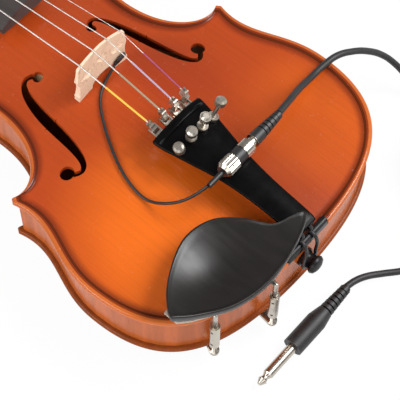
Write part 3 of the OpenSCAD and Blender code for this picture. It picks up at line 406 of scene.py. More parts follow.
def spruce_varnish(name, colours):
    """Amber varnish on straight-grained spruce, redder from the bridge past the waist toward the neck and in
    random patches, with light and shade painted in: a painted shadow on the treble side of the bridge,
    lighter amber on the lower bout that is partly painted light, painted shade in the fluting, and a worn,
    lighter rim that is partly a painted highlight.
    """
    s = Shader(name)
    # Lighter amber on the bass side of the lower bout: partly the varnish's own tone, partly a painted pool
    # of light
    glow = s.blob(-52, 60, 62, 72, 1.35)
    patch = s.step(s.noise((15, 9, 15), 3), 0.32, 0.72)
    # A painted shadow of the bridge on its treble side, with random darker patches of varnish
    dark = s.blob(32, 130, 30, 36, 1.3) * 0.4 + patch * 0.22
    dark = s.step(s.y, at(0, 150, 0).y, at(0, 330, 0).y) * 0.25 + dark
    base = s.mix(dark, colours.orange, colours.red)
    base = s.mix(glow * (0.95 - patch * 0.3), base, colours.amber)
    # A painted pool of light in amber on the treble side of the lower bout, where the slope faces away from
    # the lamps
    base = s.mix(s.blob(68, 44, 42, 52, 1.5) * (0.5 - patch * 0.2), base, colours.amber)
    grain = s.step(s.noise((950, 5, 60), 2, 0.4), 0.42, 0.66)
    fleck = s.step(s.noise((1600, 60, 300), 2), 0.6, 0.8)
    base = s.mix(grain * 0.09 + fleck * 0.06, base, shade(colours.red, 0.55))
    edge = s.across()
    rim = s.step(edge, 0.76, 0.8)
    # Painted shade in the fluting's hollow, darkest just inside the rim and fading inward, with darker
    # varnish there too
    fluting_varnish_and_shade = s.step(edge, 0.1, 0.54) * (1 - rim)
    base = s.mix(fluting_varnish_and_shade * 0.7, base, shade(colours.red, 0.38))
    # The rounded edge in lighter amber: worn varnish, partly a painted highlight
    base = s.mix(rim * 0.55, base, (0.52, 0.145, 0.028))
    dust = s.step(s.noise((420, 420, 420), 1), 0.72, 0.8)
    height = grain * 0.6 + s.noise((300, 40, 300), 2) * 0.4
    return s.done({
        "Base Color": s.mix(dust * 0.06, base, (0.9, 0.8, 0.7)),
        "Roughness": s.noise((60, 60, 60), 3) * 0.12 + 0.2, "Coat Weight": 0.2, "Specular IOR Level": 0.2,
        "Coat Roughness": 0.1, "Normal": s.bump(height, 0.00006, 0.3)})


def maple_varnish(name, colours, stretch, tone=1.0):
    """Flamed maple under the same varnish; stretch sets which way the flames run, and tone darkens a copy,
    which on the back is painted shade.
    """
    s = Shader(name)
    flame = s.step(s.noise(stretch, 1.0, 0.4, 0.3), 0.3, 0.7)
    base = s.mix(flame * 0.4, shade(colours.maple, tone), shade(colours.maple, 0.5 * tone))
    pores = s.step(s.noise((900, 900, 120), 2), 0.58, 0.75)
    return s.done({
        "Base Color": s.mix(pores * 0.22, base, shade(colours.red, 0.4)),
        "Roughness": s.noise((70, 70, 70), 2) * 0.1 + 0.2, "Specular IOR Level": 0.12,
        "Normal": s.bump(flame * 0.5 + pores * 0.5, 0.00005, 0.4)})


def bare_wood(name, colour, stretch, fleck_colour):
    """Unvarnished wood with its grain and small dark flecks."""
    s = Shader(name)
    grain = s.noise(stretch, 3)
    fleck = s.step(s.noise((900, 900, 260), 1), 0.62, 0.74)
    base = s.mix(grain * 0.45, colour, shade(colour, 0.72))
    return s.done({
        "Base Color": s.mix(fleck * 0.4, base, fleck_colour), "Roughness": grain * 0.2 + 0.45,
        "Normal": s.bump(grain, 0.00008, 0.5)})


def black_satin(name, colour, roughness, stretch, sheen, shine):
    """Black wood or moulding with faint streaks and a satin sheen."""
    s = Shader(name)
    streak = s.noise(stretch, 3)
    wear = s.step(s.noise((45, 45, 45), 4), 0.5, 0.8)
    base = s.mix(streak * 0.6, colour, tuple(c * 2.4 + 0.004 for c in colour))
    return s.done({
        "Base Color": base, "Roughness": roughness + streak * 0.14 + wear * 0.06, "Coat Weight": sheen * 0.3,
        "Coat Roughness": 0.25, "Specular IOR Level": shine, "Normal": s.bump(streak, 0.00004, 0.5)})


def bright_metal(name, colour, roughness):
    """Plated metal with fine scratches and a little tarnish."""
    s = Shader(name)
    scratch = s.noise((2200, 300, 700), 2)
    tarnish = s.step(s.noise((180, 180, 180), 3), 0.45, 0.75)
    base = s.mix(tarnish * 0.35, colour, shade(colour, 0.55))
    return s.done({
        "Base Color": base, "Metallic": 1.0, "Roughness": roughness + scratch * 0.14 + tarnish * 0.08,
        "Normal": s.bump(scratch, 0.00002, 0.4)})


def wound_metal(name, colour):
    """Flat ribbon wound round a string."""
    s = Shader(name)
    turns = s.wave(9000)
    dull = s.noise((300, 40, 300), 2)
    return s.done({
        "Base Color": s.mix(dull * 0.5, colour, shade(colour, 0.5)), "Metallic": 1.0,
        "Roughness": dull * 0.15 + 0.42, "Normal": s.bump(turns, 0.00003, 0.5)})


def silk(name, colour):
    """Coloured silk wound on a string's end."""
    s = Shader(name)
    turns = s.wave(14000)
    fuzz = s.noise((1500, 1500, 1500), 2)
    return s.done({
        "Base Color": s.mix(fuzz * 0.4, colour, shade(colour, 0.6)), "Roughness": fuzz * 0.2 + 0.6,
        "Normal": s.bump(turns, 0.00004, 0.6)})


def cork_skin(name):
    """Pale grey-brown cork with dark grains."""
    s = Shader(name)
    grain = s.noise((700, 700, 700), 3)
    pits = s.step(s.noise((1300, 1300, 1300), 2), 0.6, 0.7)
    base = s.mix(grain, (0.55, 0.47, 0.40), (0.33, 0.25, 0.18))
    return s.done({
        "Base Color": s.mix(pits * 0.7, base, (0.10, 0.06, 0.04)), "Roughness": grain * 0.1 + 0.8,
        "Normal": s.bump(grain + pits, 0.00015, 0.6)})


def rubber(name, colour, roughness):
    """Soft black sleeve of a lead."""
    s = Shader(name)
    mottle = s.noise((260, 260, 260), 3)
    scuff = s.step(s.noise((70, 70, 70), 4), 0.52, 0.75)
    base = s.mix(mottle * 0.5, colour, tuple(c * 1.8 + 0.004 for c in colour))
    return s.done({
        "Base Color": s.mix(scuff * 0.25, base, (0.05, 0.047, 0.045)),
        "Roughness": roughness + mottle * 0.15,
        "Normal": s.bump(mottle, 0.00005, 0.4)})


def banded(name, colours, line, dark):
    """Plated metal whose stretches named in dark, in millimetres along a line, are black moulding."""
    s = Shader(name)
    place = s.along(*line)
    soft = 0.03
    mask = 0.0
    for low, high in dark:
        mask = s.step(place, low - soft, low + soft) * (1 - s.step(place, high - soft, high + soft)) + mask
    scratch = s.noise((1800, 1800, 1800), 2)
    tarnish = s.step(s.noise((160, 160, 160), 3), 0.45, 0.75)
    metal = s.mix(tarnish * 0.3, colours.nickel, shade(colours.nickel, 0.5))
    moulding = s.mix(scratch * 0.4, (0.012, 0.011, 0.011), (0.03, 0.028, 0.027))
    return s.done({
        "Base Color": s.mix(mask, metal, moulding), "Metallic": 1 - mask,
        "Roughness": mask * 0.2 + scratch * 0.1 + 0.18, "Normal": s.bump(scratch, 0.000006, 0.3)})


def inlay(name):
    """Dark, pale, dark strips across the purfling's own width."""
    s = Shader(name)
    across = s.across()
    pale = s.step(across, 0.26, 0.34) * (1 - s.step(across, 0.66, 0.74))
    fibre = s.noise((700, 700, 700), 2)
    base = s.mix(pale * 0.5, (0.075, 0.014, 0.004), (0.17, 0.034, 0.008))
    return s.done({
        "Base Color": s.mix(fibre * 0.3, base, (0.05, 0.012, 0.005)), "Roughness": fibre * 0.1 + 0.4,
        "Specular IOR Level": 0.04})


FINISHES = {}


def finish(name):
    """The finish of that name, made once."""
    if name in FINISHES:
        return FINISHES[name]
    colours = bpy.context.scene.violin_colours
    socket_line = (socket_point(0), SOCKET_RUN)
    jack_line = (at(*JACK_AT), (1, 0, 0))
    makers = {
        "spruce varnish": (spruce_varnish, colours),
        "rib varnish": (maple_varnish, colours, (240, 240, 9)),
        # The back's copy is darker throughout: painted shade for the back's low edge
        "back varnish": (maple_varnish, colours, (12, 170, 60), 0.55),
        "neck varnish": (maple_varnish, colours, (30, 190, 30)),
        "bridge maple": (bare_wood, colours.bare_maple, (60, 200, 700), (0.36, 0.17, 0.08)),
        "bare spruce": (bare_wood, (0.62, 0.42, 0.22), (900, 8, 200), (0.40, 0.22, 0.09)),
        "ebony": (black_satin, colours.ebony, 0.3, (900, 12, 900), 0.2, 0.3),
        # The fingerboard's ebony is greyer than the pegs': a painted sheen of reflected light
        "board": (black_satin, (0.034, 0.027, 0.026), 0.34, (900, 12, 900), 0.4, 0.5),
        "composite": (black_satin, (0.0012, 0.001, 0.001), 0.16, (150, 150, 150), 0.0, 0.08),
        "chin rest": (black_satin, (0.005, 0.0036, 0.003), 0.29, (260, 40, 260), 0.0, 0.5),
        "pickup black": (black_satin, (0.010, 0.009, 0.009), 0.4, (300, 300, 300), 0.5, 0.5),
        "nickel": (bright_metal, colours.nickel, 0.24),
        "plain steel": (bright_metal, (0.85, 0.83, 0.80), 0.3),
        "string": (wound_metal, (0.82, 0.78, 0.74)),
        "silk g": (silk, (0.80, 0.52, 0.06)),
        "silk d": (silk, (0.33, 0.28, 0.18)),
        "silk a": (silk, (0.44, 0.36, 0.48)),
        "silk e": (silk, (0.36, 0.08, 0.20)),
        "cork": (cork_skin,),
        "lead skin": (rubber, (0.011, 0.010, 0.010), 0.42),
        "wire skin": (rubber, (0.010, 0.009, 0.009), 0.36),
        "plug black": (rubber, (0.010, 0.009, 0.009), 0.4),
        "socket": (banded, colours, socket_line, [(-12.4, 0.2), (10.45, 17.6)]),
        "phono": (banded, colours, socket_line, [(28.1, 60)]),
        "plug nickel": (banded, colours, jack_line, [(-26.2, -25.4)]),
        "purfling": (inlay,),
    }
    maker, *values = makers[name]
    FINISHES[name] = maker(name, *values)
    return FINISHES[name]


def dress(finish_name, *nodes):
    """Gives CAD nodes a finish; their shapes stay as they are."""
    for name in nodes:
        for place in frame["nodes"][name].material_slots:
            place.material = finish(finish_name)


def add_object(name, data, finish_name, nodes=(), body=ROOT):
    """Links a new piece, gives it its finish, says what it rides on, and hides the CAD nodes it stands for.
    """
    made = bpy.data.objects.new(name, data)
    bpy.context.scene.collection.objects.link(made)
    data.materials.append(finish(finish_name))
    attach(made, body)
    if nodes:
        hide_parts(*nodes)
    return made


def to_mesh(bm, name, sharp=35.0):
    """Ends a bmesh as a smooth-shaded mesh with its sharp edges marked."""
    bmesh.ops.recalc_face_normals(bm, faces=bm.faces)
    for face in bm.faces:
        face.smooth = True
    mesh = bpy.data.meshes.new(name)
    bm.to_mesh(mesh)
    bm.free()
    mesh.set_sharp_from_angle(angle=math.radians(sharp))
    return mesh


def new_bmesh():
    """An empty bmesh whose vertices carry their order in a ring and a place across it."""
    bm = bmesh.new()
    bm.verts.layers.int.new("order")
    bm.verts.layers.float.new("across")
    return bm


def loft(bm, rings, capped=False, across=None):
    """Extrudes one ring of points through the others, and closes both ends if it is capped."""
    order = bm.verts.layers.int["order"]
    share = bm.verts.layers.float["across"]
    first = bmesh.ops.create_circle(bm, segments=len(rings[0]), radius=1)["verts"]
    for i, vert in enumerate(first):
        vert[order] = i
    fresh = first
    opening = list({e for v in first for e in v.link_edges})
    edges = opening
    for k, ring in enumerate(rings):
        if k > 0:
            made = bmesh.ops.extrude_edge_only(bm, edges=edges)["geom"]
            fresh = [v for v in made if isinstance(v, bmesh.types.BMVert)]
            known = set(fresh)
            edges = [e for e in made if isinstance(e, bmesh.types.BMEdge) and known.issuperset(e.verts)]
        for vert in fresh:
            vert.co = ring[vert[order]]
            vert[share] = across[k] if across else 0.0
    if capped:
        bmesh.ops.edgeloop_fill(bm, edges=opening)
        bmesh.ops.edgeloop_fill(bm, edges=edges)


def weld(bm, distance=0.00002):
    bmesh.ops.remove_doubles(bm, verts=bm.verts, dist=distance)


def smooth_copy(node, finish_name, sharp=30.0):
    """A welded, smooth-shaded copy of a CAD node that stands for it."""
    bm = bmesh.new()
    bm.from_mesh(frame["nodes"][node].data)
    weld(bm, 0.00001)
    return add_object(node + "_smooth", to_mesh(bm, node + "_smooth", sharp), finish_name, [node],
                      frame["nodes"][node]["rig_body"])


def rod(name, points, radius, finish_name, nodes=(), kind="BEZIER"):
    """A round rod or cord along a smooth line of points."""
    curve = bpy.data.curves.new(name, "CURVE")
    curve.dimensions = "3D"
    curve.bevel_depth = radius
    curve.bevel_resolution = 4
    curve.resolution_u = 6
    curve.use_fill_caps = True
    spline = curve.splines.new(kind)
    dots = spline.bezier_points if kind == "BEZIER" else spline.points
    dots.add(len(points) - 1)
    for dot, point in zip(dots, points):
        if kind == "BEZIER":
            dot.co = point
            dot.handle_left_type = "AUTO"
            dot.handle_right_type = "AUTO"
        else:
            dot.co = (*point, 1)
    return add_object(name, curve, finish_name, nodes)


class Plan:
    """The violin's plan as a loop of edge points, each with the point of the middle line it looks to."""

    LOOKS_TO = ((0, 0.135), (12, 0.2), (21, 0.265), (22, 0.272), (30, 0.53), (37, 0.745), (38, 0.755),
                (46, 0.8), (56, 0.86))

    def __init__(self, fine):
        low = Vector((LOWER_HALF - 12.2, 0.4055 * LENGTH))
        up = Vector((UPPER_HALF - 7, 0.645 * LENGTH))
        low_tip = low + Vector((-1.8, 2.6))
        up_tip = up + Vector((-1.6, -2.6))
        waist = Vector((WAIST_HALF, WAIST_Y))
        lower = Vector((LOWER_HALF, LOWER_Y))
        upper = Vector((UPPER_HALF, UPPER_Y))
        spans = (
            (0, 12, Vector((0, 0)), Vector((LOWER_HALF * 0.74, 0)), Vector((LOWER_HALF, LOWER_Y * 0.31)),
             lower),
            (12, 9, lower, lower + Vector((0, 30)), low + Vector((-7.3, -27)), low),
            (21, 1, low, low, low_tip, low_tip),
            (22, 8, low_tip, low + Vector((-15.5, -4.4)), Vector((WAIST_HALF, low.y + 13.5)), waist),
            (30, 7, waist, waist + Vector((0, 21)), up + Vector((-14, 1.5)), up_tip),
            (37, 1, up_tip, up_tip, up, up),
            (38, 8, up, up + Vector((-5, 20)), Vector((UPPER_HALF, UPPER_Y - 28)), upper),
            (46, 10, upper, Vector((UPPER_HALF, UPPER_Y + 40)), Vector((UPPER_HALF * 0.6, LENGTH)),
             Vector((0, LENGTH))),
        )
        half = []
        for start, count, a, b, c, d in spans:
            for k in range(count * fine):
                half.append((bezier(a, b, c, d, k / (count * fine)), self.look(start + k / fine)))
        half.append((Vector((0, LENGTH)), self.look(56)))
        flip = [(Vector((-p.x, p.y)), s) for p, s in half[-2:0:-1]]
        self.loop = half + flip

    def look(self, station):
        for (a, low), (b, high) in zip(self.LOOKS_TO, self.LOOKS_TO[1:]):
            if station <= b:
                return Vector((0, LENGTH * blend(low, high, (station - a) / (b - a))))
        return Vector((0, LENGTH * self.LOOKS_TO[-1][1]))

    def ring(self, inset):
        """The edge moved in by a number of millimetres."""
        return [p + (s - p).normalized() * inset for p, s in self.loop]

    def deep(self, share, start=12):
        """The edge moved in by a share of the way from start to the middle line."""
        return [p + (s - p).normalized() * (start + ((s - p).length - start) * share) for p, s in self.loop]


def arch(x, y, height):
    """Height of a plate's outer face over its flat face."""
    lower = LOWER_HALF - FLUTE_WIDE
    waist = WAIST_HALF - WAIST_FLUTE
    upper = UPPER_HALF - FLUTE_WIDE
    if y < WAIST_Y:
        half = ease(lower, waist, (y - LOWER_Y) / (WAIST_Y - LOWER_Y))
    else:
        half = ease(waist, upper, (y - WAIST_Y) / (UPPER_Y - WAIST_Y))
    if y < ARCH_Y:
        run = (y - ARCH_FROM) / (ARCH_Y - ARCH_FROM)
    else:
        run = (LENGTH - ARCH_FROM - y) / (LENGTH - ARCH_FROM - ARCH_Y)
    along = math.sin(math.pi / 2 * clamp01(run)) ** 0.9
    across = math.sin(math.pi / 2 * clamp01(1 - abs(x) / half)) ** 1.6
    return FLUTE + (height - FLUTE) * along * across


def edge_rise(inset, lip):
    """How far the rounded edge stands over the fluting, at a distance from the plan."""
    return lip * (1 - smooth((inset - LIP_FROM) / LIP_RUN))


def belly_z(x, y):
    return TOP_Z + arch(x, y, BELLY_ARCH)


def bridge_top(x):
    """Height of the bridge's crown, which falls toward the treble side."""
    return BRIDGE_Z + BRIDGE_HEIGHT + round_drop(x, CROWN_RADIUS) - (0.12 * x if x > 0 else -0.03 * x)


def peg_z(y):
    """Height of the pegs' middles along the pegbox."""
    return NUT_GLUE_Z - PEG_DROP - PEG_SLOPE * (y - PEG_FROM)


def on_tailpiece(x, y, z):
    """A point of the tailpiece's own frame, whose y runs toward the bridge."""
    c = math.cos(TAIL_TILT)
    s = math.sin(TAIL_TILT)
    return at(x, TAIL_AT[0] + y * c - z * s, TAIL_AT[1] + y * s + z * c)


def socket_point(along):
    """A point on the line through the connector and its plug."""
    x, y = SOCKET_AT
    seat = TAIL_AT[1] + (y - TAIL_AT[0]) * math.tan(TAIL_TILT)
    z = seat + (SOCKET_RADIUS + SOCKET_GAP) / math.cos(TAIL_TILT) - x * math.sin(SOCKET_TILT)
    return at(x, y, z) + Vector(SOCKET_RUN) * along * MM


def plate(bm, plan, height, zero, side, lip, radius):
    """A carved plate: hollow inside, a rounded edge, a fluting and an arch."""
    rings = []
    rim = []

    def add(points, rise, edge=0.0):
        rings.append([at(p.x, p.y, zero + side * rise(p)) for p in points])
        rim.append(edge)

    for share in (1, 0.86, 0.7, 0.54, 0.38, 0.24, 0.12, 0.04):
        add(plan.deep(share), lambda p: max(0.0, arch(p.x, p.y, height) - PLATE_WALL))
    for inset in (9, 5, radius):
        add(plan.ring(inset), lambda p: 0.0)
    # Across shares mask the belly's lighter rim, partly a painted highlight, and its painted fluting shade
    for k in range(1, 12):
        turn = math.pi * k / 12 - math.pi / 2
        loop = plan.ring(radius - radius * math.cos(turn))
        add(loop, lambda p, a=turn: radius + radius * math.sin(a), 1.0)
    for inset in (2, 2.6, 3.3, 4, 4.6, 5.2, 6, 7, 8.5, 10):
        rise = edge_rise(inset, lip)
        add(plan.ring(inset), lambda p, r=rise: arch(p.x, p.y, height) + r, 1 - inset / EDGE_SHADE)
    for k in range(17):
        add(plan.deep(k / 16), lambda p: arch(p.x, p.y, height))
    loft(bm, rings, across=rim)
    weld(bm)


def cut(piece, cutter):
    """Takes one closed mesh out of a piece."""
    tool = bpy.data.objects.new("cutter", cutter)
    bpy.context.scene.collection.objects.link(tool)
    step = piece.modifiers.new("cut", "BOOLEAN")
    step.operation = "DIFFERENCE"
    step.solver = "EXACT"
    step.object = tool
    bpy.context.view_layer.update()
    shape = bpy.data.meshes.new_from_object(piece.evaluated_get(bpy.context.evaluated_depsgraph_get()))
    piece.modifiers.remove(step)
    old = piece.data
    piece.data = shape
    bpy.data.meshes.remove(old)
    bpy.data.objects.remove(tool)
    bpy.data.meshes.remove(cutter)


def prism(bm, outline, low, high):
    """A closed upright prism over a loop of points."""
    loft(bm, [[at(p[0], p[1], z) for p in outline] for z in (low, high)], True)


def through_belly(outlines):
    """A closed cutter that reaches through the belly under each outline."""
    bm = new_bmesh()
    for outline in outlines:
        prism(bm, outline, TOP_Z - 5, TOP_Z + 25)
    return to_mesh(bm, "cutter")


def circle(x, y, radius, count=40):
    return oval(Vector((x, y)), Vector((radius, 0)), Vector((0, radius)), count)


def saddle_notch():
    """Loop of the notch for the saddle in the belly's tail edge."""
    wide = SADDLE_WIDTH / 2 + SADDLE_GAP
    deep = SADDLE_DEPTH + SADDLE_GAP
    return [(-wide, -4), (wide, -4), (wide, deep), (-wide, deep)]


def sound_hole_stem():
    """Loop of the treble sound hole's stem, from its upper eye to its lower eye."""
    up = UPPER_EYE
    low = LOWER_EYE
    half = 24
    middle = up + Vector((17, -26))
    upper = (up + Vector((1.2, 2.6)), up + Vector((10, 11.5)), up + Vector((14.5, -7)), middle)
    lower = (middle, up + Vector((19.5, -45)), low + Vector((-12, -14.5)), low + Vector((-1.6, -3.6)))
    line = [bezier(*upper, k / half) for k in range(half)]
    line += [bezier(*lower, k / half) for k in range(half + 1)]
    left = []
    right = []
    last = len(line) - 1
    for k, point in enumerate(line):
        run = line[min(k + 1, last)] - line[max(k - 1, 0)]
        wide = 1.1 + 2.4 * math.sin(math.pi * k / last) ** 2 + 0.6 * abs(k / half - 1) ** 6
        out = Vector((run.y, -run.x)).normalized() * wide
        left.append(point - out)
        right.append(point + out)
    return left + right[::-1]


class VIOLIN_OT_leads(bpy.types.Operator):
    """Lay the pickup's wire and the lead with its coil."""

    bl_idname = "violin.leads"
    bl_label = "Wire and lead"

    # Where the lead and the wire meet the connector, along its line
    LEAD_END = 52.9
    WIRE_END = -12.3

    # Routes: the lead to the coil and from it, and the wire from the bridge
    LEAVE = ((56, 61.5, 71.2), (70, 65, 63.5), (84, 67, 57), (97, 67.5, 54.6), (108, 66.4, 53),
             (119, 63, 48.5), (130, 58.5, 41), (139, 53, 32), (145, 46, 22), (148, 36, 12), (149, 24, 5),
             (149, 12, 2.2), (150, 0, 2.2), (151.2, -12, 2.2))
    RETURN = ((110, -53.4, 15), (99, -53, 11), (88, -52, 5.5), (76, -50.5, 2.2), (64, -48.8, 2.2),
              (52, -46, 2.2), (43, -40.5, 2.6), (33, -32.6, 3.6), (25, -27, 4.8), (18, -24, 5.8),
              (11.3, -22.6, 6.3))
    FROM_PICKUP = ((8.15, 155.5, 68.24), (4.75, 154.5, 67.14))
    ON_BELLY = ((-2, 154), (-9.5, 151), (-15, 146.5), (-21, 138.5), (-27, 130), (-33.5, 118.5), (-38, 109),
                (-41, 100), (-43, 90), (-42.2, 82.5))
    RISE = ((-41, 75.5, 63), (-38, 69, 66), (-33.5, 63.5, 71), (-28.5, 59, 76.5))
    WIRE_LIFT = 0.35

    # The coil's middle, its turns and layers, a layer's middle radius, its steps out and up, its lowest line
    COIL_AT = (122, -24)
    COIL_TURNS = 10.25
    COIL_LAYERS = 4
    COIL_MIDDLE = 23
    COIL_PITCH = 5
    COIL_STEP = 5.1
    COIL_LOW = 2.2
    COIL_FINE = 16

    # The tie's middle in x and z, its half width, its reach up and down, how square it is, and its section
    TIE_AT = (98.9, 9.6)
    TIE_HALF = 6.9
    TIE_UP = 10.1
    TIE_DOWN = 9.55
    TIE_SQUARE = 0.55
    TIE_SECTION = ((0, -3.6), (0.7, -3.4), (0.9, 0), (0.7, 3.4), (0, 3.6), (-0.1, 0))

    def coil(self):
        """Layers that spiral in and out in turn."""
        layer = self.COIL_TURNS / self.COIL_LAYERS
        points = []
        for k in range(int(self.COIL_FINE * self.COIL_TURNS) + 1):
            t = k / self.COIL_FINE
            there = t % (2 * layer)
            along = min(there, 2 * layer - there)
            radius = self.COIL_MIDDLE + self.COIL_PITCH * (layer / 2 - along)
            climb = sum(clamp01(2 * (t - j * layer) + 0.5) for j in range(1, self.COIL_LAYERS))
            turn = -2 * math.pi * t
            x = self.COIL_AT[0] + radius * math.cos(turn)
            y = self.COIL_AT[1] + radius * math.sin(turn)
            points.append((x, y, self.COIL_LOW + self.COIL_STEP * climb))
        return points

    def tie(self):
        """A flat band round the bundle of turns on the coil's far side."""
        rings = []
        for k in range(48):
            a = 2 * math.pi * k / 48
            side = math.copysign(abs(math.cos(a)) ** self.TIE_SQUARE, math.cos(a))
            rise = math.copysign(abs(math.sin(a)) ** self.TIE_SQUARE, math.sin(a))
            reach = self.TIE_UP if rise > 0 else self.TIE_DOWN
            ring = []
            for grow, along in self.TIE_SECTION:
                lift = grow if rise > -0.6 else min(grow, 0.0)
                ring.append(at(self.TIE_AT[0] + (self.TIE_HALF + grow) * side, self.COIL_AT[1] + along,
                               self.TIE_AT[1] + (reach + lift) * rise))
            rings.append(ring)
        bm = new_bmesh()
        loft(bm, rings + rings[:1])
        weld(bm, 0.00001)
        return add_object("coil_tie", to_mesh(bm, "coil_tie", 50), "wire skin")

    def execute(self, context):
        shape = context.scene.violin_shape
        over_belly = shape.wire_radius / MM + self.WIRE_LIFT
        on_belly = [(x, y, belly_z(x, y) + over_belly) for x, y in self.ON_BELLY]
        route = [at(*p) for p in (*self.FROM_PICKUP, *on_belly, *self.RISE)]
        path = relaxed(through([*route, socket_point(self.WIRE_END)], 3), 8)[::2]
        wire = rod("pickup_cord", path, shape.wire_radius, "wire skin", ["pickup_wire"])
        round(run_length(path), 3)
        path = [at(*p) for p in (*self.LEAVE, *self.coil(), *self.RETURN)]
        path.insert(0, socket_point(self.LEAD_END))
        lead = rod("lead_cord", path, shape.lead_radius, "lead skin",
                   ["lead_near", "lead_coil", "lead_far"])
        plug = [self.tie()] + [frame["nodes"][n] for n in ("jack_body", "jack_shank")]
        round(run_length(path), 3)
        return {"FINISHED"}


class VIOLIN_OT_stage(bpy.types.Operator):
    """Set up the camera, the white floor and the light."""

    bl_idname = "violin.stage"
    bl_label = "Stage"

    # Each lamp's direction from the belly, how far it stands, and its width
    LAMPS = {
        "key": ((0.50, -0.50, 0.70), 1.4, 0.8),
        "window": ((0.52, -0.28, 0.80), 1.5, 0.36),
        "side": ((-0.80, 0.26, 0.50), 1.4, 0.8),
        "bounce": ((-0.75, -0.55, 0.36), 1.4, 0.8),
    }

    def floor(self):
        """A white floor that keeps a light shadow."""
        bm = bmesh.new()
        bmesh.ops.create_grid(bm, x_segments=1, y_segments=1, size=4.0)
        bmesh.ops.translate(bm, verts=bm.verts, vec=(0, 0, CAD_BOX[0][2]))
        floor = bpy.data.objects.new("floor", to_mesh(bm, "floor"))
        bpy.context.scene.collection.objects.link(floor)
        s = Shader("floor")
        seen = s.node("LightPath", output="Is Camera Ray") + s.node("LightPath", output="Is Glossy Ray")
        seen = seen + s.node("LightPath", output="Is Transmission Ray")
        glow = s.node("Emission", sockets={"Color": (1, 1, 1), "Strength": 1.0})
        matt = s.node("BsdfDiffuse", sockets={"Color": (0.9, 0.9, 0.9)})
        floor.data.materials.append(s.end(s.node("MixShader", sockets={0: seen * 0.95, 1: matt, 2: glow})))

    def surroundings(self, fill):
        """A plain world that the camera sees as white and that lights the violin a little."""
        s = Shader("plain", bpy.data.worlds)
        seen = s.node("LightPath", output="Is Camera Ray")
        level = s.node("MapRange", sockets={"Value": seen, "To Min": fill})
        return s.end(s.node("Background", sockets={"Color": (1, 1, 1), "Strength": level}), "World")

    def lamp(self, name, power, target):
        """A square soft lamp that looks at the target."""
        direction, reach, size = self.LAMPS[name]
        data = bpy.data.lights.new(name, "AREA")
        data.energy = power
        data.size = size
        lamp = bpy.data.objects.new(name, data)
        lamp.location = target + Vector(direction) * reach
        lamp.rotation_euler = (target - lamp.location).to_track_quat("-Z", "Y").to_euler()
        bpy.context.scene.collection.objects.link(lamp)

    def execute(self, context):
        stage = context.scene.violin_stage
        data = bpy.data.cameras.new("camera")
        data.sensor_width = 36
        data.lens = stage.lens
        camera = bpy.data.objects.new("camera", data)
        camera.location = stage.camera
        camera.rotation_euler = stage.turn
        context.scene.collection.objects.link(camera)
        context.scene.camera = camera
        context.scene.view_settings.view_transform = "Standard"
        self.floor()
        for name in self.LAMPS:
            self.lamp(name, getattr(stage, name), at(0, 110, 60))
        context.scene.world = self.surroundings(stage.fill)
        return {"FINISHED"}


class VIOLIN_OT_belly(bpy.types.Operator):
    """Carve the belly with its sound holes and the notch for the saddle."""

    bl_idname = "violin.belly"
    bl_label = "Belly"

    def execute(self, context):
        shape = context.scene.violin_shape
        bm = new_bmesh()
        plan = Plan(shape.outline_steps)
        plate(bm, plan, BELLY_ARCH, TOP_Z, 1, shape.edge_lip / MM, shape.edge_radius / MM)
        mesh = to_mesh(bm, "belly")
        belly = add_object("belly", mesh, "spruce varnish", ["top_plate"])
        stem = sound_hole_stem()
        turn = Matrix.Rotation(NICK_TURN, 2)
        nick = [NICK_AT + turn @ Vector(p) for p in NICK]
        eyes = [circle(*UPPER_EYE, UPPER_EYE_RADIUS), circle(*LOWER_EYE, LOWER_EYE_RADIUS)]
        eyes += [flipped(eye) for eye in eyes]
        for outlines in ([*eyes, saddle_notch()], [stem, flipped(stem)], [nick, flipped(nick)]):
            cut(belly, through_belly(outlines))
        belly.data.set_sharp_from_angle(angle=math.radians(35))
        return {"FINISHED"}


class VIOLIN_OT_back(bpy.types.Operator):
    """Carve the back with its button under the heel."""

    bl_idname = "violin.back"
    bl_label = "Back"

    BUTTON_RADIUS = 11
    BUTTON_BEVEL = 0.8
    BUTTON_THICK = 3.8

    def execute(self, context):
        shape = context.scene.violin_shape
        bm = new_bmesh()
        plan = Plan(shape.outline_steps)
        plate(bm, plan, BACK_ARCH, BACK_Z, -1, shape.edge_lip / MM, shape.edge_radius / MM)
        outer = circle(0, LENGTH + 1, self.BUTTON_RADIUS, 48)
        inner = circle(0, LENGTH + 1, self.BUTTON_RADIUS - self.BUTTON_BEVEL, 48)
        low = BACK_Z - self.BUTTON_THICK
        levels = ((inner, BACK_Z), (outer, BACK_Z), (outer, low + self.BUTTON_BEVEL), (inner, low))
        loft(bm, [[at(*p, z) for p in ring] for ring, z in levels], True)
        add_object("back", to_mesh(bm, "back"), "back varnish", ["back_plate"])
        return {"FINISHED"}


class VIOLIN_OT_purfling(bpy.types.Operator):
    """Inlay the three strips round both plates."""

    bl_idname = "violin.purfling"
    bl_label = "Purfling"

    # Place across the strips, and rise over the plate
    SECTION = ((0, -0.6), (0, 0.05), (0.3, 0.05), (0.5, 0.05), (0.7, 0.05), (1, 0.05), (1, -0.6), (0, -0.6))

    def execute(self, context):
        shape = context.scene.violin_shape
        plan = Plan(shape.outline_steps)
        inset = shape.purfling_inset / MM
        width = shape.purfling_width / MM
        bm = new_bmesh()
        for zero, side, height in ((TOP_Z, 1, BELLY_ARCH), (BACK_Z, -1, BACK_ARCH)):
            rings = []
            for share, rise in self.SECTION:
                deep = inset + width * share
                rise += edge_rise(deep, shape.edge_lip / MM)
                rings.append([at(p.x, p.y, zero + side * (arch(p.x, p.y, height) + rise))
                              for p in plan.ring(deep)])
            loft(bm, rings, across=[share for share, rise in self.SECTION])
        weld(bm)
        mesh = to_mesh(bm, "purfling_strips")
        strips = add_object("purfling_strips", mesh, "purfling", ["purfling"])
        cut(strips, through_belly([saddle_notch()]))
        return {"FINISHED"}


